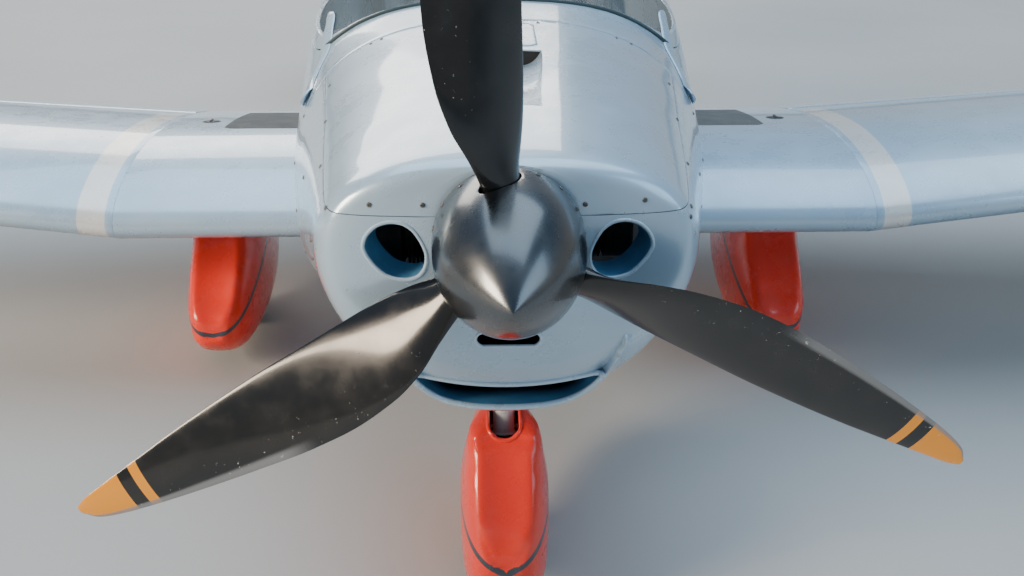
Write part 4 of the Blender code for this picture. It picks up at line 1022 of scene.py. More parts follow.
finRows, rudderRows, thick = [], [], tailPlane["finThick"]
for t in np.linspace(0, 1, 24):
    z, front, rear = (a + (b - a) * t for a, b in zip(tailPlane["finFoot"], tailPlane["finTop"]))
    share = tailPlane["rudderShare"][0] + (tailPlane["rudderShare"][1] - tailPlane["rudderShare"][0]) * t
    lead = front - tailPlane["fillet"] * max(0, 1 - t / 0.22) ** 2.2  # it runs forward along the spine
    base = rear - front
    endS = rear - base + base * fixedShare(base, thick, share)
    loop = fixedLoop(base, thick, share)
    loop[:, 0] = loop[:, 0] / loop[:, 0].max() * (endS - lead)
    finRows.append(at(lead + loop[:, 0], loop[:, 1], z))
    moving = hingedLoop(base, thick, share, 0, 0, 10)
    rudderRows.append(at(rear - base + moving[:, 0], moving[:, 1], z))
fin = solid("fin_surface", finRows)
carved(fin, bodySolid("body_cutter", 4.2, 5.79, 0.002, 50, 80))
fitted(edged(fin, 0.003, 3, 60), paint, "fin", slot="paint")
fitted(edged(solid("rudder_surface", rudderRows), 0.003, 3, 60), paint, "rudder", body="rudder", slot="paint")
say("tail")

# propeller
propeller = {
    "radius": 0.1175, "length": 0.26, "back": 0.045, "turn": 3.3,
    "rows": (  # radius, chord, pitch in degrees, thickness, lead of the blade
        (0.047, 0.056, 50, 0.0500, 0.002), (0.095, 0.066, 50, 0.0480, 0.006),
        (0.125, 0.084, 48, 0.0400, 0.012), (0.160, 0.108, 45, 0.0320, 0.016),
        (0.210, 0.138, 41, 0.0255, 0.025), (0.270, 0.152, 36, 0.0208, 0.031),
        (0.340, 0.155, 31, 0.0178, 0.033), (0.430, 0.149, 26, 0.0150, 0.029),
        (0.530, 0.131, 22, 0.0125, 0.022), (0.630, 0.108, 19, 0.0105, 0.015),
        (0.720, 0.082, 17, 0.0085, 0.009), (0.790, 0.058, 15, 0.0065, 0.003),
        (0.830, 0.038, 14, 0.0050, -0.003), (0.850, 0.012, 14, 0.0030, -0.010),
    ),
    "full": 2.8, "point": 0.9, "holeGap": 0.0032, "holeRadius": 0.117,
    "plate": (
        (0.0453, 0.0303), (0.0453, 0.1160), (0.0462, 0.1175), (0.0480, 0.1175), (0.0489, 0.1160),
        (0.0489, 0.0303),
    ),
}
hub = at(0, 0, body["hub"])
u = np.linspace(0, 1, 60) ** 1.3
u = 1 - u[::-1]


def dome(v, wall=0.0):  # radius of the spinner at a share of its length
    return (propeller["radius"] - wall) * max(0.0, 1 - v ** propeller["full"]) ** propeller["point"]


outline = [(propeller["back"] - v * propeller["length"], dome(v)) for v in u]
inner = [(propeller["back"] - v * (propeller["length"] - 0.004), dome(v, 0.003)) for v in u[::-1]]
profile = outline[:-1] + [(outline[-1][0], 0.0001), (inner[0][0], 0.0001)] + inner[1:]
spinner = spun("spinner_dome", profile, hub, (0, 1, 0), 128)
spinLook = Look("spinner_finish", metallic=1.0, coatWeight=0.45, coatRoughness=0.12)
grime, speck = spinLook.noise(16, 5), spinLook.cells(300)
spots = speck.ramp(0.10, 0.17, 1.0, 0.0) * spinLook.noise(11, 2).ramp(0.52, 0.62)
base = spinLook.mix(grime.ramp(0.4, 0.7), (0.105, 0.115, 0.125), (0.125, 0.128, 0.130))
spinLook.gives("Base Color", spinLook.mix(spots * 0.6, base, (0.35, 0.30, 0.24)))
spinLook.gives("Roughness", grime.ramp(0.3, 0.8, 0.24, 0.33) + spots * 0.3)
spinLook.raised(spinLook.noise(60, 2), 0.03, 0.001)


def bladeLook():
    look = Look(
        "blade_finish", metallic=0.0, coatWeight=0.6, coatRoughness=0.09, coatIor=1.45,
        specularIorLevel=0.35,
    )
    x, z = look.axis("X"), look.axis("Z") - body["hub"]
    radius = (x * x + z * z) ** 0.5
    grime, chip = look.noise(20, 5), look.noise(120, 4, 0.7)
    yellow = (0.80, 0.30, 0.015)
    tips = (radius > 0.757) + radius.band(0.715, 0.733, 0.0004)
    base = look.mix(grime.ramp(0.4, 0.7), (0.008, 0.009, 0.010), (0.014, 0.014, 0.014))
    base = look.mix(tips.maths("MINIMUM", 1.0), base, yellow)
    edge = look.node("Attribute", {"attribute_name": "leading"}, out=2)
    worn = edge.ramp(0.86, 0.93) * radius.ramp(0.42, 0.50)
    base = look.mix(worn * 0.85, base, (0.22, 0.23, 0.24))
    chips = chip.ramp(0.66, 0.70) * edge.ramp(0.55, 0.9) * radius.ramp(0.16, 0.3)
    base = look.mix(chips, base, (0.60, 0.58, 0.54))
    look.gives("Base Color", base)
    look.gives("Roughness", grime.ramp(0.3, 0.8, 0.16, 0.30) + worn * 0.2 + chips * 0.2)
    look.raised(chips * -1.0 + look.noise(45, 2) * 0.3, 0.25, 0.0006)
    return look.material


bladePaint = bladeLook()
parts = (0.047, 0.13, 12), (0.138, 0.80, 60), (0.806, 0.85, 14)
radii = np.concatenate([np.linspace(*part) for part in parts])
bladeAt = flowingRows(propeller["rows"])


def bladeRing(row, turn, radius, grow=0.0):  # one section of a blade, set at a radius
    chord, angle, thick, lead = row
    c, d = np.cos(turnsOf(56)), np.sin(turnsOf(56))
    pitch = math.radians(angle)
    power = 1.0 + 0.35 * smooth((radius - 0.09) / 0.05)
    across = lead + (chord / 2 + grow) * c
    deep = (thick / 2 + grow) * np.sign(d) * np.abs(d) ** power
    deep = np.where(d > 0, deep * (1 - 0.65 * smooth((radius - 0.11) / 0.06)), deep)
    x = -across * math.cos(pitch) - deep * math.sin(pitch)
    y = -across * math.sin(pitch) + deep * math.cos(pitch)
    z = radius * math.cos(turn) + x * math.sin(turn)
    return hub + np.stack([x * math.cos(turn) - radius * math.sin(turn), y, z], -1)


for number in range(3):
    turn = math.radians(propeller["turn"] + 120 * number)
    rows = [bladeRing(row, turn, radius) for radius, row in zip(radii, bladeAt(radii))]
    blade = solid("propeller_blade_%d" % (number + 1), rows, 60)
    out = np.array([-math.sin(turn), 0, math.cos(turn)])
    side = np.array([math.cos(turn), 0, math.sin(turn)])
    points = verticesOf(blade)
    shape = bladeAt((points - hub) @ out)
    pitch = np.radians(shape[:, 1])
    flat = -((points - hub) @ side) * np.cos(pitch) - (points[:, 1] - hub[1]) * np.sin(pitch)
    leading = np.clip((flat - shape[:, 3]) / (shape[:, 0] / 2) * 0.5 + 0.5, 0, 1)  # 1 at the leading edge
    shares = blade.data.attributes.new("leading", "FLOAT", "POINT")
    shares.data.foreach_set("value", leading.astype(np.float32))
    root = bladeRing(bladeAt(propeller["holeRadius"])[0], turn, propeller["holeRadius"], propeller["holeGap"])
    carved(spinner, solid("root_hole", [root + out * move for move in (-0.05, 0.05)]))
    fitted(blade, bladePaint, "blade_%d" % (number + 1), body="propeller", slot="black", sharp=60)
fitted(edged(spinner, 0.0012, 2, 45), spinLook.material, "spinner", body="propeller", slot="black", sharp=45)
backPlate = spun("spinner_backplate", propeller["plate"], hub, (0, 1, 0), 96)
fitted(backPlate, castMetal, "spinner_plate", body="propeller", slot="black")
say("propeller")

# wheel fairings
pants = {  # height, front, rear and half width of each fairing
    "nose": (
        (0.075, 0.355, 0.80, 0.080), (0.100, 0.328, 0.88, 0.091), (0.150, 0.303, 0.98, 0.097),
        (0.210, 0.298, 1.02, 0.099), (0.280, 0.315, 1.00, 0.098), (0.350, 0.352, 0.90, 0.093),
        (0.380, 0.374, 0.86, 0.090), (0.400, 0.387, 0.82, 0.088), (0.420, 0.401, 0.78, 0.085),
        (0.436, 0.418, 0.74, 0.080),
    ),
    "main": (
        (0.070, 1.560, 2.16, 0.080), (0.100, 1.505, 2.28, 0.097), (0.150, 1.465, 2.38, 0.109),
        (0.210, 1.462, 2.40, 0.113), (0.270, 1.500, 2.34, 0.112), (0.330, 1.560, 2.29, 0.110),
        (0.400, 1.630, 2.28, 0.108), (0.450, 1.655, 2.29, 0.109), (0.530, 1.650, 2.31, 0.116),
    ),
    "nosePower": 0.31, "tail": {"nose": (0.80, 0.518, 0.36), "main": (0.55, 0.570, 0.0)}, "hollow": 0.25,
    "soft": 0.0080, "mainX": 0.885,
    # height, and half distance there between the two soft ridges
    "noseLine": (
        (0.198, 0.0), (0.212, 0.006), (0.226, 0.014), (0.265, 0.035), (0.306, 0.053), (0.364, 0.055),
        (0.410, 0.0535), (0.428, 0.060), (0.436, 0.062),
    ),
    "mainLine": (
        (0.158, 0.0), (0.172, 0.008), (0.190, 0.020), (0.23, 0.043), (0.28, 0.062), (0.35, 0.064),
        (0.42, 0.062), (0.47, 0.074), (0.53, 0.085),
    ),
}


def pantRing(kind, z, front, rear, half, count):  # outline of a fairing seen from above, at one height
    turn = turnsOf(count)
    c, d = np.cos(turn), np.sin(turn)
    u = (1 - c) / 2
    power, widest, taper = pants["tail"][kind]
    wide = np.where((u > 0) & (u < 1), half * u ** pants["nosePower"] * (1 - u) ** power / widest, 0)
    wide = np.minimum(wide, half) * (1 - taper * smooth((z - 0.30) / 0.12) * smooth((u - 0.1) / 0.5))
    return front + (rear - front) * u, np.sign(d) * wide


def pantSkin(name, kind, centreX, levels, capRise=0.0):
    line = flowingRows(pants[kind + "Line"])
    lowest = pants[kind + "Line"][0][0]
    rows = []
    for z, (front, rear, half) in zip(levels, flowingRows(pants[kind])(levels)):
        s, x = pantRing(kind, z, front, rear, half, 144)
        edge = float(line(z)[0, 0]) if z >= lowest else 0.0
        if edge > 0.001:  # the deck is a hollow facet cut across the rounded nose
            ahead, soft = s <= s[np.argmax(x)], pants["soft"]
            depth = np.interp(edge, x[ahead & (x >= 0)], s[ahead & (x >= 0)])
            deck = depth + pants["hollow"] * edge * np.clip(1 - (x / edge) ** 2, 0, 1)
            sunk = s + soft * np.logaddexp(0, (deck - s) / soft) * (np.abs(x) < edge + 0.02)
            s = np.where(ahead, sunk, s)
        rows.append(at(s, centreX + x, z))
    if capRise:
        middle, last = at(0.56, centreX, levels[-1]), rows[-1]
        for t in np.linspace(0.12, 1.5, 12):
            rows.append(middle + (last - middle) * math.cos(t) + [0, 0, capRise * math.sin(t)])
    return skin(name, rows, True, caps="b" if capRise else "", sharp=70)


class Ground:  # finds places on the outside of a finished piece
    def __init__(self, *objs):
        graph = bpy.context.evaluated_depsgraph_get()
        self.trees = [BVHTree.FromObject(obj, graph) for obj in objs]

    def hit(self, point, towards):
        towards = Vector(towards).normalized()
        found = [tree.ray_cast(Vector(point), towards) for tree in self.trees]
        found = [hit for hit in found if hit[0] is not None]
        if not found:
            return None, None
        place, normal, _, _ = min(found, key=lambda hit: hit[3])
        return np.array(place), np.array(normal)


nosePant = pantSkin("nose_pant", "nose", 0, np.linspace(0.075, 0.436, 90), capRise=0.018)
notch = {"half": 0.032, "front": 0.449, "rear": 0.625, "corner": 0.030, "lip": 0.0042, "lipEnd": 0.56}
t = np.linspace(0, math.pi, 25)
nose = np.stack([-np.cos(t) * notch["half"], notch["front"] + notch["corner"] * (1 - np.sin(t) ** 0.8)], -1)
notchRing = np.concatenate([nose, [(notch["half"], notch["rear"]), (-notch["half"], notch["rear"])]])
rimLine = np.concatenate([[(-notch["half"], notch["lipEnd"])], nose, [(notch["half"], notch["lipEnd"])]])
rimLine = spaced((rimLine - [0, 0.53]) * [1.10, 1.07] + [0, 0.53], 70)
pantGround = Ground(nosePant)
rimPath = [pantGround.hit(at(s, x, 0.9), (0, 0, -1))[0] for x, s in rimLine]
rimPath = np.array([p for p in rimPath if p is not None])
walled(nosePant, 0.003, False)
carved(nosePant, solid("notch_cutter", [at(notchRing[:, 1], notchRing[:, 0], z) for z in (0.33, 0.60)]))
fitted(edged(nosePant, 0.0012, 2, 60), nosePaint, "nose_fairing", body="nose_gear", slot="fairing", sharp=60)
fitted(tube("strut_notch_lip", rimPath, notch["lip"], 10), nosePaint, body="nose_gear", slot="fairing")
for side, tag in sides:
    pant = pantSkin("main_pant_" + tag, "main", side * pants["mainX"], np.linspace(0.070, 0.530, 92))
    walled(pant, 0.003, False)
    loop = foil(wing["chord"], wing["thick"])
    carved(pant, solid("wing_cutter", [wingRow(x, side, loop) for x in (0.6, wing["kink"], 1.4)]))
    fitted(pant, mainPaint, "main_fairing_" + tag, slot="fairing", sharp=60)
say("wheel fairings")

# small parts that repeat, set out by a node tree
def repeatTree():
    tree = bpy.data.node_groups.new("repeat_on_points", "GeometryNodeTree")
    for label, way, kind in (
        ("Points", "INPUT", "Geometry"), ("Shape", "INPUT", "Object"), ("Finish", "INPUT", "Material"),
        ("Loose", "INPUT", "Float"),
        ("Seed", "INPUT", "Int"), ("Pieces", "OUTPUT", "Geometry"),
    ):
        tree.interface.new_socket(label, in_out=way, socket_type="NodeSocket" + kind)
    kinds = {
        "give": "NodeGroupInput", "take": "NodeGroupOutput", "points": "GeometryNodeMeshToPoints",
        "shape": "GeometryNodeObjectInfo",
        "facing": "GeometryNodeInputNamedAttribute", "aim": "FunctionNodeAlignRotationToVector",
        "chance": "FunctionNodeRandomValue",
        "spin": "FunctionNodeAxisAngleToRotation", "turn": "FunctionNodeRotateRotation",
        "place": "GeometryNodeInstanceOnPoints",
        "real": "GeometryNodeRealizeInstances", "finish": "GeometryNodeSetMaterial",
    }
    n = {key: tree.nodes.new(kind) for key, kind in kinds.items()}
    n["facing"].data_type = "FLOAT_VECTOR"
    n["facing"].inputs["Name"].default_value = "facing"
    n["aim"].axis = "Z"
    n["chance"].data_type = "FLOAT"
    n["turn"].rotation_space = "LOCAL"
    n["spin"].inputs["Axis"].default_value = (0, 0, 1)
    ends = {s.name: s for s in n["chance"].inputs if s.type == "VALUE"}
    low, high = ends["Min"], ends["Max"]
    low.default_value = 0.0
    chance = [s for s in n["chance"].outputs if s.type == "VALUE"][0]
    facing = n["facing"].outputs["Attribute"]
    for a, b in (
        (n["give"].outputs["Points"], n["points"].inputs["Mesh"]),
        (n["give"].outputs["Shape"], n["shape"].inputs["Object"]),
        (n["give"].outputs["Loose"], high), (n["give"].outputs["Seed"], n["chance"].inputs["Seed"]),
        (facing, n["aim"].inputs["Vector"]),
        (chance, n["spin"].inputs["Angle"]), (n["aim"].outputs[0], n["turn"].inputs["Rotation"]),
        (n["spin"].outputs[0], n["turn"].inputs["Rotate By"]),
        (n["points"].outputs[0], n["place"].inputs["Points"]),
        (n["shape"].outputs["Geometry"], n["place"].inputs["Instance"]),
        (n["turn"].outputs[0], n["place"].inputs["Rotation"]), (n["place"].outputs[0], n["real"].inputs[0]),
        (n["real"].outputs[0], n["finish"].inputs[0]),
        (n["give"].outputs["Finish"], n["finish"].inputs["Material"]),
        (n["finish"].outputs[0], n["take"].inputs[0]),
    ):
        tree.links.new(a, b)
    return tree


repeats = repeatTree()


def repeated(name, shape, places, facings, look, body, slot, loose=0.0, seed=7):  # loose turns them at random
    mesh = bpy.data.meshes.new(name)
    mesh.from_pydata([tuple(p) for p in places], [], [])
    ways = mesh.attributes.new("facing", "FLOAT_VECTOR", "POINT")
    ways.data.foreach_set("vector", np.asarray(facings, np.float32).ravel())
    obj = placed(name, mesh)
    made = obj.modifiers.new("repeat", "NODES")
    made.node_group = repeats
    keys = {item.name: item.identifier for item in repeats.interface.items_tree if item.in_out == "INPUT"}
    for label, value in (("Shape", shape), ("Finish", look), ("Loose", loose), ("Seed", seed)):
        made[keys[label]] = value
    return fitted(settled(obj), look, body=body, slot=slot, sharp=35)


def headOf(name, radius, height, cross=True, steps=14):  # a screw head at the origin, facing up
    side = ((-0.001, radius), (height * 0.45, radius), (height * 0.85, radius * 0.82), (height, radius * 0.4))
    profile = ((-0.001, 0.0001), *side, (height, 0.0001))
    head = spun(name, profile, (0, 0, 0), (0, 0, 1), steps, True, 40)
    if cross:
        for wide, long in ((0.22, 1.2), (1.2, 0.22)):
            x, y = radius * wide / 2, radius * long / 2
            bar = [[(-x, -y, z), (x, -y, z), (x, y, z), (-x, y, z)] for z in (height * 0.35, height * 2)]
            carved(head, solid("recess", bar))
    return head


darkScrew = plainLook("dark_screws", (0.16, 0.16, 0.155), (0.22, 0.21, 0.19), 0.4, 0.85, 400, 0.0002)
steelScrew = plainLook("steel_screws", (0.48, 0.48, 0.47), (0.33, 0.33, 0.33), 0.32, 0.95, 400, 0.0002)
screwHead = headOf("screw_head", 0.0042, 0.0021)
rivetHead = headOf("rivet_head", 0.0024, 0.0010, False, 10)
cowlGround = Ground(upperCowl, lowerCowl, tub)


def onBody(places):  # places given as (x, s, z) near the body, set on it
    found = []
    for x, s, z in places:
        away = (x, -0.25 if s < 0.2 else 0.0, z - 0.95)
        size = math.sqrt(sum(v * v for v in away))
        start = at(s, x, z) + np.array(away) / size * 0.03
        hit = cowlGround.hit(start, [-v for v in away])
        if hit[0] is not None:
            found.append(hit)
    return [hit[0] for hit in found], [hit[1] for hit in found]


screwPlaces = [
    (-0.402, 0.583, 0.975), (-0.285, 0.106, 1.083), (-0.213, 0.069, 1.101), (-0.131, 0.060, 1.103),
    (0.118, 0.060, 1.102), (0.211, 0.069, 1.105),
    (0.293, 0.118, 1.076), (0.289, 0.097, 1.066), (0.41, 0.6, 0.97), (-0.342, 0.269, 0.964),
    (-0.424, 0.731, 0.736), (-0.451, 1.131, 1.052),
    (-0.294, 0.975, 1.164), (0.305, 0.984, 1.159),
]
for side in (-1, 1):
    screwPlaces += [(side * 0.4, s, 1.104) for s in (0.34, 0.60, 0.86)]
    screwPlaces += [(side * 0.5, 0.975, z) for z in (0.52, 0.64, 0.76, 0.88, 1.00)]
    screwPlaces += [(side * x, 0.976, 1.3) for x in (0.12, 0.42)]
places, facings = onBody(screwPlaces)
repeated("cowl_screws", screwHead, places, facings, darkScrew, "airframe", "metal", 3.0, 11)
hatchCorners = ((0.066, 0.765), (0.066, 0.952), (0.0, 0.952))
places, facings = onBody([(side * x, s, 1.3) for side in (-1, 1) for x, s in hatchCorners])
repeated("hatch_fasteners", rivetHead, places, facings, steelScrew, "airframe", "metal")
facings = []
for turn in range(8, 368, 20):  # degrees round the spinner, apart from where a blade stands
    if all(abs((turn - 86.7 - 120 * k + 180) % 360 - 180) > 13 for k in range(3)):
        facings.append(np.array([math.cos(math.radians(turn)), 0, math.sin(math.radians(turn))]))
places = [hub + [0, 0.034, 0] + way * 0.1173 for way in facings]
repeated("spinner_screws", screwHead, places, facings, darkScrew, "propeller", "metal", 3.0, 5)
say("screws")

# nose leg, wheels and main legs
noseLeg = {"foot": (0.528, 0.362), "lean": 14, "axle": (0.60, 0.160)}
lean = math.radians(noseLeg["lean"])
legFoot, legUp = at(noseLeg["foot"][0], 0, noseLeg["foot"][1]), np.array([0, math.sin(lean), math.cos(lean)])
axle = at(noseLeg["axle"][0], 0, noseLeg["axle"][1])
strutRows = (  # along the leg, and radius
    (-0.012, 0.0001), (-0.012, 0.020), (-0.008, 0.0225), (0.020, 0.0225), (0.022, 0.0262), (0.036, 0.0262),
    (0.038, 0.0240), (0.22, 0.0240),
    (0.223, 0.0262), (0.236, 0.0262), (0.239, 0.0205), (0.357, 0.0205), (0.360, 0.0190), (0.360, 0.0001),
)
strut = spun("strut", strutRows, legFoot, legUp, 48)
forkHalf = [(0.052, 0.362), (0.073, 0.335), (0.073, 0.150), (0.061, 0.150), (0.061, 0.330), (0.048, 0.343)]
forkLeft = [(-x, z) for x, z in forkHalf]
forkX, forkZ = zip(*forkLeft[2::-1], *forkHalf, *forkLeft[:2:-1])
fork = edged(solid("fork", [at(s, forkX, forkZ) for s in (0.535, 0.625)]), 0.004, 3, 40)


def disc(name, x, thick, radius, sides, sharp=32):  # a flat disc round the nose axle
    profile = ((x, 0.0001), (x, radius), (x + thick, radius), (x + thick, 0.0001))
    return spun(name, profile, axle, (1, 0, 0), sides, sharp=sharp)


lugs = [disc("lug", x, 0.013, 0.024, 32) for x in (-0.0735, 0.0605)]
fitted(
    joined("nose_leg_and_fork", strut, fork, *lugs), strutPaint, "nose_leg", body="nose_gear",
    slot="metal",
)
nuts = [disc("nut", x, 0.008, 0.012, 6, 20) for x in (-0.083, 0.075)]
fitted(joined("nose_axle_nuts", *nuts), bareMetal, body="nose_gear", slot="metal")
# a dark ring round the strut inside the notch: painted shade in the fairing
notchShadowRing = ((0.030, 0.0245), (0.034, 0.027), (0.034, 0.040), (0.031, 0.0405), (0.026, 0.040), (0.026, 0.0245))
fitted(spun("strut_shroud", notchShadowRing, legFoot, legUp, 40), blackGap, body="nose_gear", slot="trim")
places, facings = [], []
for s, z in ((0.58, 0.262), (0.58, 0.243), (0.70, 0.245), (0.42, 0.20), (0.66, 0.33)):
    for side in (-1, 1):
        place, facing = pantGround.hit(at(s, side * 0.4, z), (-side, 0, 0))
        if place is not None:
            places.append(place)
            facings.append(facing)
repeated("nose_fairing_screws", screwHead, places, facings, steelScrew, "nose_gear", "metal", 3.0, 3)

rubber = plainLook(
    "tyre_rubber", (0.022, 0.022, 0.023), (0.045, 0.043, 0.040), 0.75, grain=420,
    wear=(0.085, 0.080, 0.072),
)
rimPaint = plainLook(
    "rim_paint", (0.55, 0.56, 0.56), (0.43, 0.43, 0.42), 0.35, 0.5, 200, 0.0003, 0.3,
    (0.25, 0.23, 0.20),
)
wheelRim = {
    "radius": 0.085, "share": 0.72, "grooves": (-0.021, 0.0, 0.021), "groove": 0.0030, "deep": 0.0035,
    "bolts": 6,
    "boltCircle": 0.052,
    "side": (  # share of the half width, and radius
        (1.0, 0.0103), (1.0, 0.024), (0.80, 0.030), (0.50, 0.034), (0.44, 0.066), (0.62, 0.0755),
        (1.02, 0.080),
        (1.08, 0.0845), (1.0, 0.0855), (0.80, 0.0815),
    ),
}


def wheel(body, tyreNode, rimNode):
    low, high = (np.array(corner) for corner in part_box(tyreNode))
    centre, half, radius = (low + high) / 2, (high[0] - low[0]) / 2, (high[2] - low[2]) / 2
    middle = 0.62 * radius + 0.38 * wheelRim["radius"]
    section = []
    for turn in np.linspace(0, 2 * math.pi, 141)[:-1]:
        c, d = math.cos(turn), math.sin(turn)
        x = half * math.copysign(abs(d) ** 0.80, d)
        if c > 0:
            out = middle + (radius - middle) * abs(c) ** 0.72
        else:
            out = middle - (middle - wheelRim["radius"] + 0.004) * abs(c) ** 0.8
        cut = max(math.exp(-(((x - g) / wheelRim["groove"]) ** 4)) for g in wheelRim["grooves"])
        section.append((x, out - wheelRim["deep"] * cut * (c > 0.3)))
    fitted(
        spun("tyre_" + body, section, centre, (1, 0, 0), 96, sharp=60), rubber, tyreNode, body=body,
        slot="tyre", sharp=60,
    )
    h, circle = half * wheelRim["share"], wheelRim["boltCircle"]
    profile = [(share * h, r) for share, r in wheelRim["side"]]
    rim = spun("rim", profile + [(-x, r) for x, r in profile[::-1]], centre, (1, 0, 0), 72)
    fitted(edged(rim, 0.0008, 2, 30), rimPaint, rimNode, body=body, slot="metal", name="rim_" + body)
    places, facings = [], []
    for side in (-1, 1):
        for t in turnsOf(wheelRim["bolts"], 0.5):
            places.append(centre + [side * 0.46 * h, circle * math.cos(t), circle * math.sin(t)])
            facings.append((side, 0, 0))
    repeated("rim_bolts_" + body, screwHead, places, facings, steelScrew, body, "metal", 3.0, 2)


wheel("nose_wheel", "nose_tyre", "nose_rim")
wheel("main_wheel_left", "main_left_tyre", "main_left_rim")
wheel("main_wheel_right", "main_right_tyre", "main_right_rim")
say("legs and wheels")

# engine behind the ducts
engine = {
    "gearbox": (
        (0.085, 0.0001), (0.085, 0.040), (0.10, 0.0445), (0.22, 0.0445), (0.26, 0.075), (0.31, 0.088),
        (0.31, 0.0001),
    ),
    "barrel": (
        (0.10, 0.0001), (0.10, 0.047), (0.185, 0.047), (0.19, 0.060), (0.236, 0.060), (0.242, 0.052),
        (0.242, 0.0001),
    ),
    "fin": ((0.0, 0.046), (0.0, 0.060), (0.0018, 0.060), (0.0018, 0.046)),
    "fins": np.arange(0.112, 0.184, 0.0075),
    "barrelZ": 0.925, "right": (0.40, 0.60), "left": (0.43, 0.63),
}
crank = edged(blockOf("crankcase", (0.30, 0.80), (-0.115, 0.115), (0.79, 1.00)), 0.02, 4)
gear = spun("gearbox", engine["gearbox"], hub, (0, 1, 0), 48)
barrels, places, facings = [], [], []
for side, tag in sides:
    for s in engine[tag]:
        centre = at(s, 0, engine["barrelZ"])
        profile = [(side * along, r) for along, r in engine["barrel"]]
        barrels.append(spun("barrel", profile, centre, (1, 0, 0), 40))
        places += [centre + [side * x, 0, 0] for x in engine["fins"]]
        facings += [(1, 0, 0)] * len(engine["fins"])
fitted(joined("engine_case", crank, gear, *barrels), castMetal, "engine_block", slot="metal")
coolingFin = spun("cooling_fin", engine["fin"], (0, 0, 0), (0, 0, 1), 28)
repeated("cylinder_fins", coolingFin, places, facings, castMetal, "airframe", "metal")
hoses = []
for side in (-1, 1):
    for s in (0.41, 0.61):
        a, b = at(s, side * 0.215, 0.985), at(0.70, side * 0.05, 1.05)
        over, way = a + [0, 0.02, 0.085], np.linspace(0, 1, 18)
        line = [a * (1 - t) ** 2 + over * 2 * t * (1 - t) + b * t * t for t in way]
        hoses.append(tube("hose", line, 0.009, 12))
    for low, high in ((0.83, 0.80), (0.97, 1.05)):
        bar = [at(0.76, side * 0.10, low), at(0.9985, side * 0.19, high)]
        hoses.append(tube("mount", bar, 0.0095, 14))
fitted(joined("engine_hoses_and_mount", *hoses), seal, slot="black")

radiator = {
    "s": (0.346, 0.389), "half": 0.149, "z": (0.666, 0.739), "bar": 0.007, "post": 0.009,
    "pitch": 0.0032,
}
wide, low, high = radiator["half"], *radiator["z"]
bars = [((-wide, wide), (low, low + radiator["bar"])), ((-wide, wide), (high - radiator["bar"], high))]
bars += [((-wide, -wide + radiator["post"]), (low, high)), ((wide - radiator["post"], wide), (low, high))]
frameBars = [blockOf("bar", radiator["s"], x, z, 0.002) for x, z in bars]
fitted(joined("radiator_frame", *frameBars), castMetal, "radiator", slot="metal")
coolerPlate = blockOf("plate", (shiftY - 0.018, shiftY + 0.018), (-0.0003, 0.0003), (-0.030, 0.030))
places = [at(0.367, x, 0.7025) for x in np.arange(-0.137, 0.1371, radiator["pitch"])]
repeated("radiator_fins", coolerPlate, places, [(0, 0, 1)] * len(places), castMetal, "airframe", "metal")
heated = plainLook(
    "heated_steel", (0.34, 0.27, 0.20), (0.20, 0.16, 0.15), 0.35, 0.95, 120, 0.0004,
    wear=(0.10, 0.08, 0.09),
)
profile = ((0.0, 0.0192), (0.0, 0.0218), (0.01, 0.0222), (0.338, 0.0218), (0.338, 0.0192))
pipe = spun("exhaust_tail_pipe", profile, at(exhaust["s"], exhaust["x"], exhaust["low"]), (0, 0, 1), 48)
fitted(pipe, heated, "exhaust_pipe", slot="metal")
for side, tag in sides:  # dark sheet behind the cowl's split: painted shadow in the gap
    s = np.linspace(0.12, 0.985, 60)
    gapShadowSheet = [at(s, side * (wideAt(s, np.full(60, z)) - 0.0042), z) for z in (1.074, 1.094)]
    fitted(walled(skin("cowl_split_liner_" + tag[0], gapShadowSheet), 0.0008), blackGap, slot="black")
say("engine")

# cabin
carpet = plainLook(
    "floor_carpet", (0.040, 0.042, 0.046), (0.062, 0.062, 0.064), 0.95, grain=900, depth=0.0022,
)
panelGrey = plainLook(
    "panel_grey", (0.085, 0.087, 0.092), (0.105, 0.105, 0.108), 0.55, grain=800, depth=0.0003,
)
lining = plainLook("cabin_lining", (0.30, 0.30, 0.29), (0.24, 0.24, 0.235), 0.85, grain=700, depth=0.0012)
screen = Look("dark_screen", roughness=0.06, coatWeight=1.0, coatRoughness=0.02)
screen.gives(
    "Base Color",
    screen.mix(screen.noise(8, 3).ramp(0.4, 0.7), (0.006, 0.008, 0.010), (0.012, 0.014, 0.016)),
)
screen.gives("Roughness", screen.noise(30, 4).ramp(0.4, 0.8, 0.05, 0.14))
dialLook = plainLook("dial_marks", (0.72, 0.72, 0.68), (0.60, 0.60, 0.57), 0.6)
for node, look in (
    ("instrument_panel", panelGrey), ("glareshield", trim), ("centre_console", panelGrey),
    ("cabin_floor", carpet), ("rear_bulkhead", lining),
    ("nose_leg_mount", strutPaint), ("main_leg_left", strutPaint), ("main_leg_right", strutPaint),
    ("propeller_hub", castMetal),
):
    for entry in bpy.data.objects[node].material_slots:
        entry.material = look
panel = {
    "gauges": (  # x, z and radius
        (-0.335, 0.985, 0.030), (-0.335, 0.915, 0.030), (-0.26, 0.915, 0.022), (0.26, 0.915, 0.022),
        (0.335, 0.985, 0.030), (0.335, 0.915, 0.030),
    ),
    "bezel": ((0.0, 0.86), (0.0, 1.12), (0.004, 1.12), (0.007, 1.02), (0.007, 0.92), (0.002, 0.86)),
    "face": 1.4605, "ticks": 13, "displays": 0.165, "units": (0.905, 0.945, 0.985, 1.022),
    "knob": (
        (-0.001, 0.0001), (-0.001, 0.0085), (0.003, 0.0080), (0.013, 0.0068), (0.015, 0.0050),
        (0.015, 0.0001),
    ),
}
bezels, faces, ticks, needles = [], [], [], []
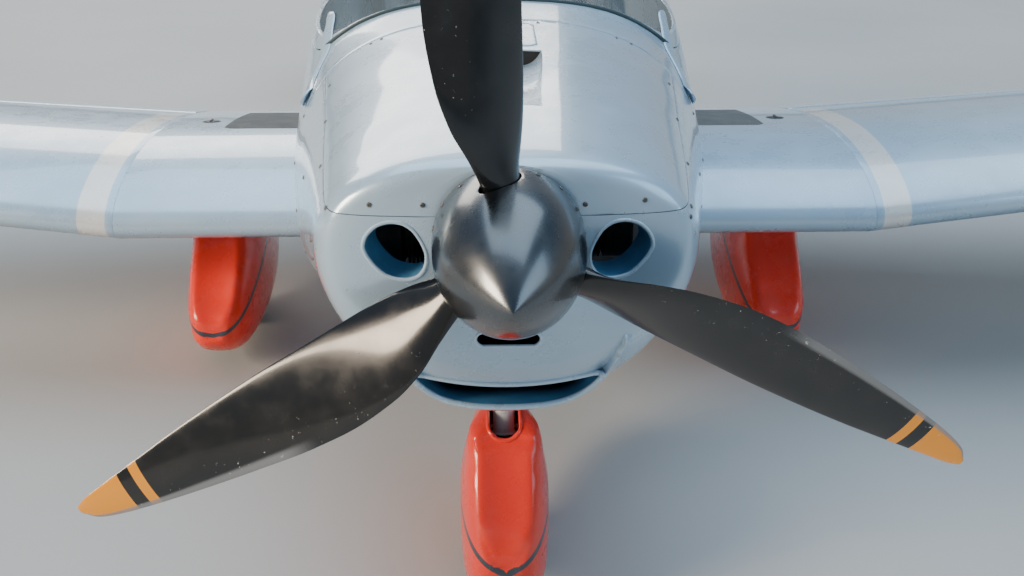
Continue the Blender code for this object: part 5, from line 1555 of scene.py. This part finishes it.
for x, z, r in panel["gauges"]:
    centre = at(panel["face"], x, z)
    bezels.append(spun("bezel", [(y, r * size) for y, size in panel["bezel"]], centre, (0, 1, 0), 40))
    dial = ((-0.0002, 0.0001), (-0.0002, r * 0.88), (0.0018, r * 0.88), (0.0018, 0.0001))
    faces.append(spun("face", dial, centre, (0, 1, 0), 40))
    for t in np.radians(np.linspace(-45, 225, panel["ticks"])):
        ticks.append(centre + [r * 0.74 * math.cos(t), 0.0019, r * 0.74 * math.sin(t)])
    lean = math.radians(40 + 37 * len(bezels))
    tip, pin = np.array([math.cos(lean), 0, math.sin(lean)]) * r * 0.66, centre + [0, 0.0032, 0]
    needles.append(tube("needle", [pin - tip * 0.25, pin + tip], [0.0011, 0.0004], 6))
for x in (-panel["displays"], panel["displays"]):
    bezels.append(edged(blockOf("display", (1.459, 1.468), (x - 0.086, x + 0.086), (0.905, 1.030)), 0.004, 3))
    faces.append(edged(blockOf("pane", (1.466, 1.4695), (x - 0.073, x + 0.073), (0.920, 1.020)), 0.0008))
for z in panel["units"]:
    bezels.append(edged(blockOf("unit", (1.459, 1.467), (-0.066, 0.066), (z - 0.017, z + 0.017)), 0.002, 2))
    faces.append(edged(blockOf("pane", (1.466, 1.4678), (-0.040, 0.040), (z - 0.010, z + 0.010)), 0.0006))
fitted(joined("gauge_bezels_and_units", *bezels), blackGloss, slot="trim")
fitted(joined("gauge_faces_and_screens", *faces), screen.material, slot="black")
tickHead = headOf("tick", 0.0011, 0.0004, False, 8)
repeated("gauge_ticks", tickHead, ticks, [(0, 1, 0)] * len(ticks), dialLook, "airframe", "trim")
fitted(joined("gauge_needles", *needles), dialLook, slot="trim")
knob = spun("knob", panel["knob"], (0, 0, 0), (0, 0, 1), 16)
places = [at(1.461, x, 0.878) for x in np.linspace(-0.30, 0.30, 13)]
places += [at(1.467, x, z) for x in (-0.053, 0.053) for z in panel["units"]]
repeated("panel_knobs", knob, places, [(0, 1, 0)] * len(places), blackGloss, "airframe", "trim")
console = {
    "top": 0.858, "levers": ((-0.028, 0.02), (0.0, -0.03), (0.028, 0.05)),  # x, and lean of each lever
    "grip": (
        (0.070, 0.0001), (0.070, 0.008), (0.078, 0.0125), (0.095, 0.0125), (0.103, 0.008),
        (0.103, 0.0001),
    ),
    "trim": ((-0.006, 0.006), (-0.006, 0.028), (0.006, 0.028), (0.006, 0.006)), "switches": (-0.03, 0.02),
}
levers = []
for x, lean in console["levers"]:
    foot = at(1.60, x, console["top"])
    levers.append(tube("lever", [foot, foot + [0, lean, 0.075]], 0.0032, 10))
    levers.append(spun("grip", console["grip"], foot, (0, lean * 12, 1), 20))
for x in console["switches"]:
    levers.append(edged(blockOf("switch", (1.68, 1.70), (x, x + 0.012), (console["top"], 0.872)), 0.002))
levers.append(spun("trim_wheel", console["trim"], at(1.76, 0, console["top"]), (1, 0, 0), 36))
fitted(joined("console_levers", *levers), blackGloss, slot="trim")
stick = {
    "x": 0.27, "path": ((1.72, 0.5154), (1.715, 0.60), (1.725, 0.68), (1.76, 0.75)), "radius": 0.011,
    "grip": (
        (0.0, 0.0001), (0.0, 0.0150), (0.012, 0.0175), (0.030, 0.0155), (0.045, 0.0170), (0.062, 0.0155),
        (0.080, 0.0172), (0.098, 0.0190), (0.110, 0.0165), (0.115, 0.010), (0.115, 0.0001),
    ),
}
for side, tag in sides:
    x = side * stick["x"]
    path = flowing(range(4), [at(s, x, z) for s, z in stick["path"]])(np.linspace(0, 3, 22))
    shaft = tube("stick", path, stick["radius"], 16)
    grip = spun("grip", stick["grip"], at(1.757, x, 0.745), (0, 0.33, 0.94), 24, sharp=60)
    fitted(joined("stick_" + tag, shaft, grip), blackGloss, "control_stick_" + tag, slot="trim")
    folds = [(0.002 + 0.011 * k, (0.052 - 0.0065 * k) * (1.0 if k % 2 else 0.86)) for k in range(7)]
    profile = [(0.002, 0.012), *folds, (0.075, 0.012)]
    boot = spun("stick_boot_" + tag, profile, at(1.72, x, 0.5125), (0, 0, 1), 28, sharp=70)
    fitted(boot, trim, slot="trim", sharp=70)
say("cabin")


def clothLook():
    look = Look("seat_fabric", sheenWeight=0.35)
    weave, weft, grime = look.wave("X", 260.0, 0.4), look.wave("Y", 260.0, 0.4), look.noise(12, 4)
    base = look.mix(grime.ramp(0.35, 0.7), (0.115, 0.125, 0.140), (0.085, 0.092, 0.105))
    look.gives("Base Color", look.mix(weave * weft, base, (0.17, 0.18, 0.20)))
    look.gives("Roughness", grime.ramp(0.3, 0.8, 0.80, 0.95))
    look.raised(weave + weft, 0.25, 0.0006)
    return look.material


fabric = clothLook()
webbing = plainLook(
    "belt_webbing", (0.018, 0.020, 0.024), (0.030, 0.031, 0.034), 0.8, grain=1100, depth=0.0008,
)


def plumped(obj, voxel, cap):  # cloth pass that swells a cushion a little
    modified(obj, "REMESH", mode="VOXEL", voxel_size=voxel)
    scene = bpy.context.scene
    start = verticesOf(obj)
    cloth = obj.modifiers.new("swell", "CLOTH")
    cloth.settings.use_pressure, cloth.settings.uniform_pressure_force = True, seat["pressure"]
    cloth.settings.effector_weights.gravity = 0.0
    cloth.settings.quality = 4
    for step in range(1, 21):
        scene.frame_set(step)
    settled(obj)
    scene.frame_set(1)
    move = verticesOf(obj) - start
    size = np.linalg.norm(move, axis=1)[:, None]
    move *= np.minimum(1, cap / (size + 1e-9))
    return reshaped(obj, start + move)


def pad(name, rows, half):  # each row goes across the pad's thickness, from one (s, z) to another
    power, turn = 5.0, turnsOf(44)
    c, d = np.cos(turn), np.sin(turn)
    x = half * np.sign(c) * np.abs(c) ** (2 / power)
    lift = np.sign(d) * np.abs(d) ** (2 / power)
    grid = []
    for (s0, z0, s1, z1), grow in rows:
        middle, reach = np.array([s0 + s1, z0 + z1]) / 2, np.array([s1 - s0, z1 - z0]) / 2 * grow
        grid.append(at(middle[0] + reach[0] * lift, x * (0.94 + 0.06 * grow), middle[1] + reach[1] * lift))
    return solid(name, grid)


def pressed(obj, facing, *lines):  # sewn channels, each where one coordinate has a value
    deep, wide, co = seat["channelDeep"], seat["channelWide"], verticesOf(obj)
    normal = np.array([v.normal for v in obj.data.vertices])
    show = smooth((normal @ np.asarray(facing) - 0.2) / 0.5)
    sink = np.zeros(len(co))
    for axis, values in lines:
        for value in values:
            sink = np.maximum(sink, np.exp(-(((co[:, axis] - value) / wide) ** 2)))
    return reshaped(obj, co - normal * (sink * show * deep)[:, None])


def mirrored(obj):  # to the other side
    return flipped(reshaped(obj, verticesOf(obj) * [-1, 1, 1]))


seat = {
    "x": 0.25, "half": 0.168, "front": 1.942, "long": 0.446, "swell": 0.008, "voxel": 0.006, "pressure": 4.0,
    "channels": (-0.095, 0.095), "channelDeep": 0.007, "channelWide": 0.006,
    "cushionLines": (2.06, 2.16, 2.26), "backLines": (0.78, 0.92, 1.06),
}
padRows, backRows = [], []
for t in np.linspace(0, 1, 13):
    s, low, top = seat["front"] + seat["long"] * t, 0.612 - 0.046 * t, 0.690 - 0.070 * t
    grow = 0.80 + 0.20 * min(1, 4 * min(t, 1 - t) + 0.35)
    padRows.append(((s, low, s, top + 0.006 * math.sin(math.pi * t)), grow))
for t in np.linspace(0, 1, 15):
    s, z = 2.402 + 0.205 * t, 0.625 + 0.535 * t
    backRows.append(((s - 0.004, z, s + 0.040, z + 0.016), 0.72 + 0.28 * min(1, 4 * min(t, 1 - t) + 0.3)))
base = plumped(pad("seat_cushion", padRows, seat["half"]), seat["voxel"], seat["swell"])
backrest = plumped(pad("seat_backrest", backRows, seat["half"]), seat["voxel"], seat["swell"] * 0.8)
pressed(base, (0, 0, 1), (0, seat["channels"]), (1, [s - shiftY for s in seat["cushionLines"]]))
pressed(backrest, (0, -0.93, 0.36), (0, seat["channels"]), (2, seat["backLines"]))
for source, node, tag in ((base, "seat_", "cushion_"), (backrest, "seat_back_", "backrest_")):
    reshaped(source, verticesOf(source) + [seat["x"], 0, 0])
    twin = mirrored(placed(tag + "right", source.data.copy()))
    for obj, side in ((source, "left"), (twin, "right")):
        fitted(obj, fabric, node + side, slot="seat", sharp=180, name=tag + side)
seatGround = Ground(bpy.data.objects["cushion_left"], bpy.data.objects["backrest_left"])


def lying(starts, towards, lift):  # points of a strap that lies on the seat
    hits = [seatGround.hit(start, towards)[0] for start in starts]
    return [place + lift for place in hits if place is not None]


def ribbon(line, half, across):  # a flat strap along a line
    line, across, thin = spaced(np.array(line), 40), np.asarray(across, float), 0.0008
    up = np.cross(np.gradient(line, axis=0), across)
    up /= np.linalg.norm(up, axis=1)[:, None]
    corners = ((-half, -thin), (half, -thin), (half, thin), (-half, thin))
    return solid("ribbon", [[p + across * a + u * b for a, b in corners] for p, u in zip(line, up)])


for side, tag in ((1, "left"), (-1, "right")):
    middle = side * seat["x"]
    rails = []
    for x in (middle - 0.12, middle + 0.12):
        rails.append(blockOf("rail", (1.96, 2.37), (x - 0.012, x + 0.012), (0.5125, 0.560), 0.003))
    for x in (middle - 0.13, middle + 0.13):
        rails.append(tube("frame", [at(2.405, x, 0.52), at(2.455, x, 0.63), at(2.65, x, 1.14)], 0.011, 14))
    fitted(joined("seat_rails_" + tag, *rails), castMetal, slot="metal")
    ribbons = []
    for k in (-0.075, 0.075):  # shoulder strap and lap strap
        downwards, inwards = np.linspace(1.17, 0.70, 26), np.linspace(0.165, 0.02, 12)
        starts = [at(1.9, seat["x"] + k * (0.55 + 0.45 * (z - 0.7) / 0.47), z) for z in downwards]
        line = lying(starts, (0, 1, 0), [0, -0.004, 0.001])
        over = [at(2.66, seat["x"] + k, 1.10), at(2.655, seat["x"] + k, 1.175), line[0] + [0, 0.02, 0.018]]
        ribbons.append(ribbon(over + line, 0.021, (1, 0, 0)))
        starts = [at(2.34, seat["x"] + math.copysign(reach, k), 1.0) for reach in inwards]
        ribbons.append(ribbon(lying(starts, (0, 0, -1), [0, 0, 0.004]), 0.022, (0, 1, 0)))
    belt = joined("seat_belt_" + tag, *ribbons)
    low = seatGround.hit(at(2.34, seat["x"], 1.0), (0, 0, -1))[0][2]
    size = (2.315, 2.365), (seat["x"] - 0.026, seat["x"] + 0.026), (low + 0.002, low + 0.020)
    buckle = edged(blockOf("belt_buckle_" + tag, *size), 0.005, 3)
    for obj, look, slotName in ((belt, webbing, "trim"), (buckle, blackGloss, "metal")):
        if side < 0:
            mirrored(obj)
        fitted(obj, look, slot=slotName)
say("seats")

# small parts on the wings and body
grip = plainLook(
    "walkway_grit", (0.085, 0.088, 0.090), (0.120, 0.118, 0.112), 0.95, grain=1400, depth=0.0012,
    wear=(0.20, 0.19, 0.175),
)
capMetal = plainLook("fuel_cap_metal", (0.055, 0.056, 0.058), (0.090, 0.088, 0.085), 0.45, 0.8, 200, 0.0003)


def lampGlass(name, colour):
    look = Look(name, roughness=0.08, coatWeight=1.0, coatRoughness=0.03, ior=1.45)
    ribs = look.wave("Z", 90.0)
    look.gives("Base Color", look.mix(ribs.ramp(0.2, 0.8), colour, tuple(v * 0.55 for v in colour)))
    look.raised(ribs, 0.4, 0.0008)
    return look.material


def wingTop(x, s, under=False):  # height of the wing's skin
    lead, low, chord, thick = wingAt(x)
    loop = foil(chord, thick)
    face = loop[len(loop) // 2:] if under else loop[: len(loop) // 2 + 1][::-1]
    return low + np.interp(np.asarray(s) - lead, face[:, 0], face[:, 1])


def lug(name, s, x, low, ringRadius, wire):  # tie-down ring, hung by its top
    turn = turnsOf(28)
    line = at(s + ringRadius * np.cos(turn), x, low + ringRadius * np.sin(turn))
    return tube(name, line, wire, 10, closed=True)


walkway = {"front": 1.94, "rear": 2.40, "inner": 0.60, "outer": 0.90, "round": 0.02, "proud": 0.0009}
fuelCap = {
    "s": 2.08, "x": 0.97,
    "profile": (
        (-0.002, 0.0001), (-0.002, 0.031), (0.0008, 0.031), (0.0022, 0.029), (0.0022, 0.0255),
        (0.0012, 0.0245),
        (0.0012, 0.023), (0.0034, 0.022), (0.0040, 0.019), (0.0040, 0.0001),
    ),
}
tipLamp = {
    "s": 0.09, "long": 0.085, "x": 4.462, "out": 0.016, "z": 0.018, "red": (0.65, 0.012, 0.010),
    "green": (0.010, 0.42, 0.12),
}
tieDown = {"s": 1.83, "x": 1.04, "drop": 0.018, "radius": 0.013, "wire": 0.0028}


for side, tag in sides:
    rows = []
    for s in np.linspace(walkway["front"], walkway["rear"], 24):
        pull = roundIn(min(s - walkway["front"], walkway["rear"] - s), walkway["round"])
        x = np.linspace(walkway["inner"] + pull, walkway["outer"] - pull, 12)
        rows.append(at(s, side * x, [wingTop(v, s) + walkway["proud"] for v in x]))
    fitted(walled(skin("walkway_" + tag, rows), 0.0012), grip, slot="trim")
    s, x = fuelCap["s"], fuelCap["x"]
    slope = float(wingTop(x, s + 0.03) - wingTop(x, s - 0.03)) / 0.06
    place = at(s, side * x, float(wingTop(x, s)))
    cap = spun("cap", fuelCap["profile"], place, (0, -slope, 1.0), 48)
    size = (s - 0.016, s + 0.016), (side * x - 0.004, side * x + 0.004), (place[2] + 0.003, place[2] + 0.0085)
    lever = edged(blockOf("lever", *size), 0.0016, 2)
    fitted(joined("fuel_cap_" + tag, cap, lever), capMetal, slot="black")
    lead, rise, _, _ = wingAt(4.44)
    lens, turn = [], turnsOf(24)
    for t in np.linspace(0.02, 0.98, 22):
        size = math.sin(math.pi * t**0.7) ** 0.7
        x = side * (tipLamp["x"] + tipLamp["out"] * size * np.cos(turn))
        z = rise + tipLamp["z"] + tipLamp["z"] * size * np.sin(turn)
        lens.append(at(lead + tipLamp["s"] + tipLamp["long"] * t, x, z))
    look = lampGlass("lamp_" + tag, tipLamp["red" if side > 0 else "green"])
    fitted(solid("tip_lamp_" + tag, lens, 60), look, slot="glazing", sharp=60)
    s, x = tieDown["s"], side * tieDown["x"]
    low = float(wingTop(tieDown["x"], s, True))
    ring = lug("ring", s, x, low - tieDown["drop"], tieDown["radius"], tieDown["wire"])
    profile = ((-0.008, 0.0001), (-0.008, 0.0042), (0.010, 0.0042), (0.010, 0.0001))
    shank = spun("shank", profile, at(s, x, low), (0, 0, 1), 20)
    fitted(joined("tie_down_ring_" + tag, ring, shank), bareMetal, slot="metal")
    places, facings = [], []
    for x in np.arange(1.25, 4.2, 0.11):
        lead, _, chord, _ = wingAt(x)
        for s in (lead + chord * 0.30, lead + chord * 0.70):
            places.append(at(s, side * x, float(wingTop(x, s))))
            slope = float(wingTop(x, s + 0.02) - wingTop(x, s - 0.02)) / 0.04
            facings.append((-side * 0.096, -slope, 1.0))
    repeated("wing_rivets_" + tag, rivetHead, places, facings, paint, "airframe", "paint")
z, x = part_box("pitot_tube")[0][2] + 0.009, -3.2
bend = [at(1.228, x, z), at(1.30, x, z), at(1.48, x, z), at(1.55, x, z + 0.006), at(1.60, x, z + 0.03)]
bend.append(at(1.625, x, float(wingTop(3.2, 1.64, True)) + 0.004))
bend = flowing(range(6), bend)(np.linspace(0, 5, 50))
pitotStations, pitotRadii = (1.22, 1.232, 1.30, 1.31, 1.7), (0.0035, 0.0055, 0.0058, 0.0078, 0.0082)
pitot = tube("pitot_and_mast", bend, np.interp(bend[:, 1] + shiftY, pitotStations, pitotRadii), 16)
fitted(pitot, bareMetal, "pitot_tube", slot="metal")
mast, foot = [], float(topAt(3.45, 0.0)) - 0.004
for t in np.linspace(0, 1, 12):
    loop = foil(0.11 - 0.05 * t, 0.16, 0, 0, 14)
    mast.append(at(3.38 + 0.07 * t + loop[:, 0], loop[:, 1], foot + 0.155 * t))
fitted(solid("spine_antenna", mast), whitePaint, slot="paint")
foot = float(topAt(5.5, 0.0, True))
ring = lug("ring", 5.50, 0, foot - 0.012, 0.014, 0.003)
plate = edged(blockOf("plate", (5.475, 5.525), (-0.006, 0.006), (foot - 0.004, foot + 0.01)), 0.002)
fitted(joined("tail_tie_down", ring, plate), bareMetal, slot="metal")
for pattern in (screwHead, rivetHead, tickHead, coolingFin, coolerPlate, knob):
    bpy.data.objects.remove(pattern)
say("small parts")

# camera, light and floor
view = {  # degrees, mm
    "place": (-0.034, -4.4468, 1.652), "down": 24.478, "aside": 1.5, "lens": 1050 / 1024 * 36,
}


def aimed(obj, place, way):
    obj.location = place
    obj.rotation_mode = "QUATERNION"
    obj.rotation_quaternion = Vector(way).to_track_quat("-Z", "Y")


camera = placed("camera", bpy.data.cameras.new("camera"))
down, aside = math.radians(view["down"]), math.radians(view["aside"])
way = math.sin(aside) * math.cos(down), math.cos(aside) * math.cos(down), -math.sin(down)
aimed(camera, view["place"], way)
camera.data.lens, camera.data.sensor_width, camera.data.clip_end = view["lens"], 36, 200
bpy.context.scene.camera = camera


def lamp(name, place, target, size, power, colour):
    light = placed(name, bpy.data.lights.new(name, "AREA"))
    light.data.shape, light.data.size, light.data.size_y = "RECTANGLE", size[0], size[1]
    light.data.energy, light.data.color = power, colour
    aimed(light, place, Vector(target) - Vector(place))


lamp("key", (-15, -9, 7.2), (0, -1.6, 0.8), (6.0, 6.0), 4300, (1.0, 0.82, 0.62))
lamp("fill", (15, -9.0, 10.0), (0, -1.2, 0.8), (14.0, 10.0), 1150, (0.58, 0.80, 1.0))
lamp("top", (0.5, 2.5, 15.0), (0, -0.3, 0), (18.0, 18.0), 2600, (0.70, 0.86, 1.0))
lamp("rear", (-4, 16.0, 8.0), (0, 0, 1.0), (14.0, 6.0), 1300, (1.0, 0.93, 0.84))
world = bpy.data.worlds.new("studio")
world.use_nodes = True
sky = world.node_tree
facing = sky.nodes.new("ShaderNodeTexCoord")
height = sky.nodes.new("ShaderNodeSeparateXYZ")
blend = sky.nodes.new("ShaderNodeValToRGB")
background = sky.nodes["Background"].inputs
sky.links.new(facing.outputs["Generated"], height.inputs[0])
sky.links.new(height.outputs["Z"], blend.inputs[0])
sky.links.new(blend.outputs[0], background[0])
for stop, place, colour in ((0, 0.0, (0.80, 0.76, 0.70, 1)), (1, 0.55, (0.36, 0.55, 0.80, 1))):
    blend.color_ramp.elements[stop].position, blend.color_ramp.elements[stop].color = place, colour
background[1].default_value = 0.50
bpy.context.scene.world = world
floor = skin("floor", [[(-60, -60, 0), (60, -60, 0)], [(-60, 60, 0), (60, 60, 0)]])
floorLook = Look("floor_finish", roughness=0.75)
cloud = floorLook.noise(0.6, 3).ramp(0.3, 0.7)
floorLook.gives("Base Color", floorLook.mix(cloud, (0.46, 0.455, 0.44), (0.43, 0.425, 0.41)))
floor.data.materials.append(floorLook.material)

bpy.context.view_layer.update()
say("done")
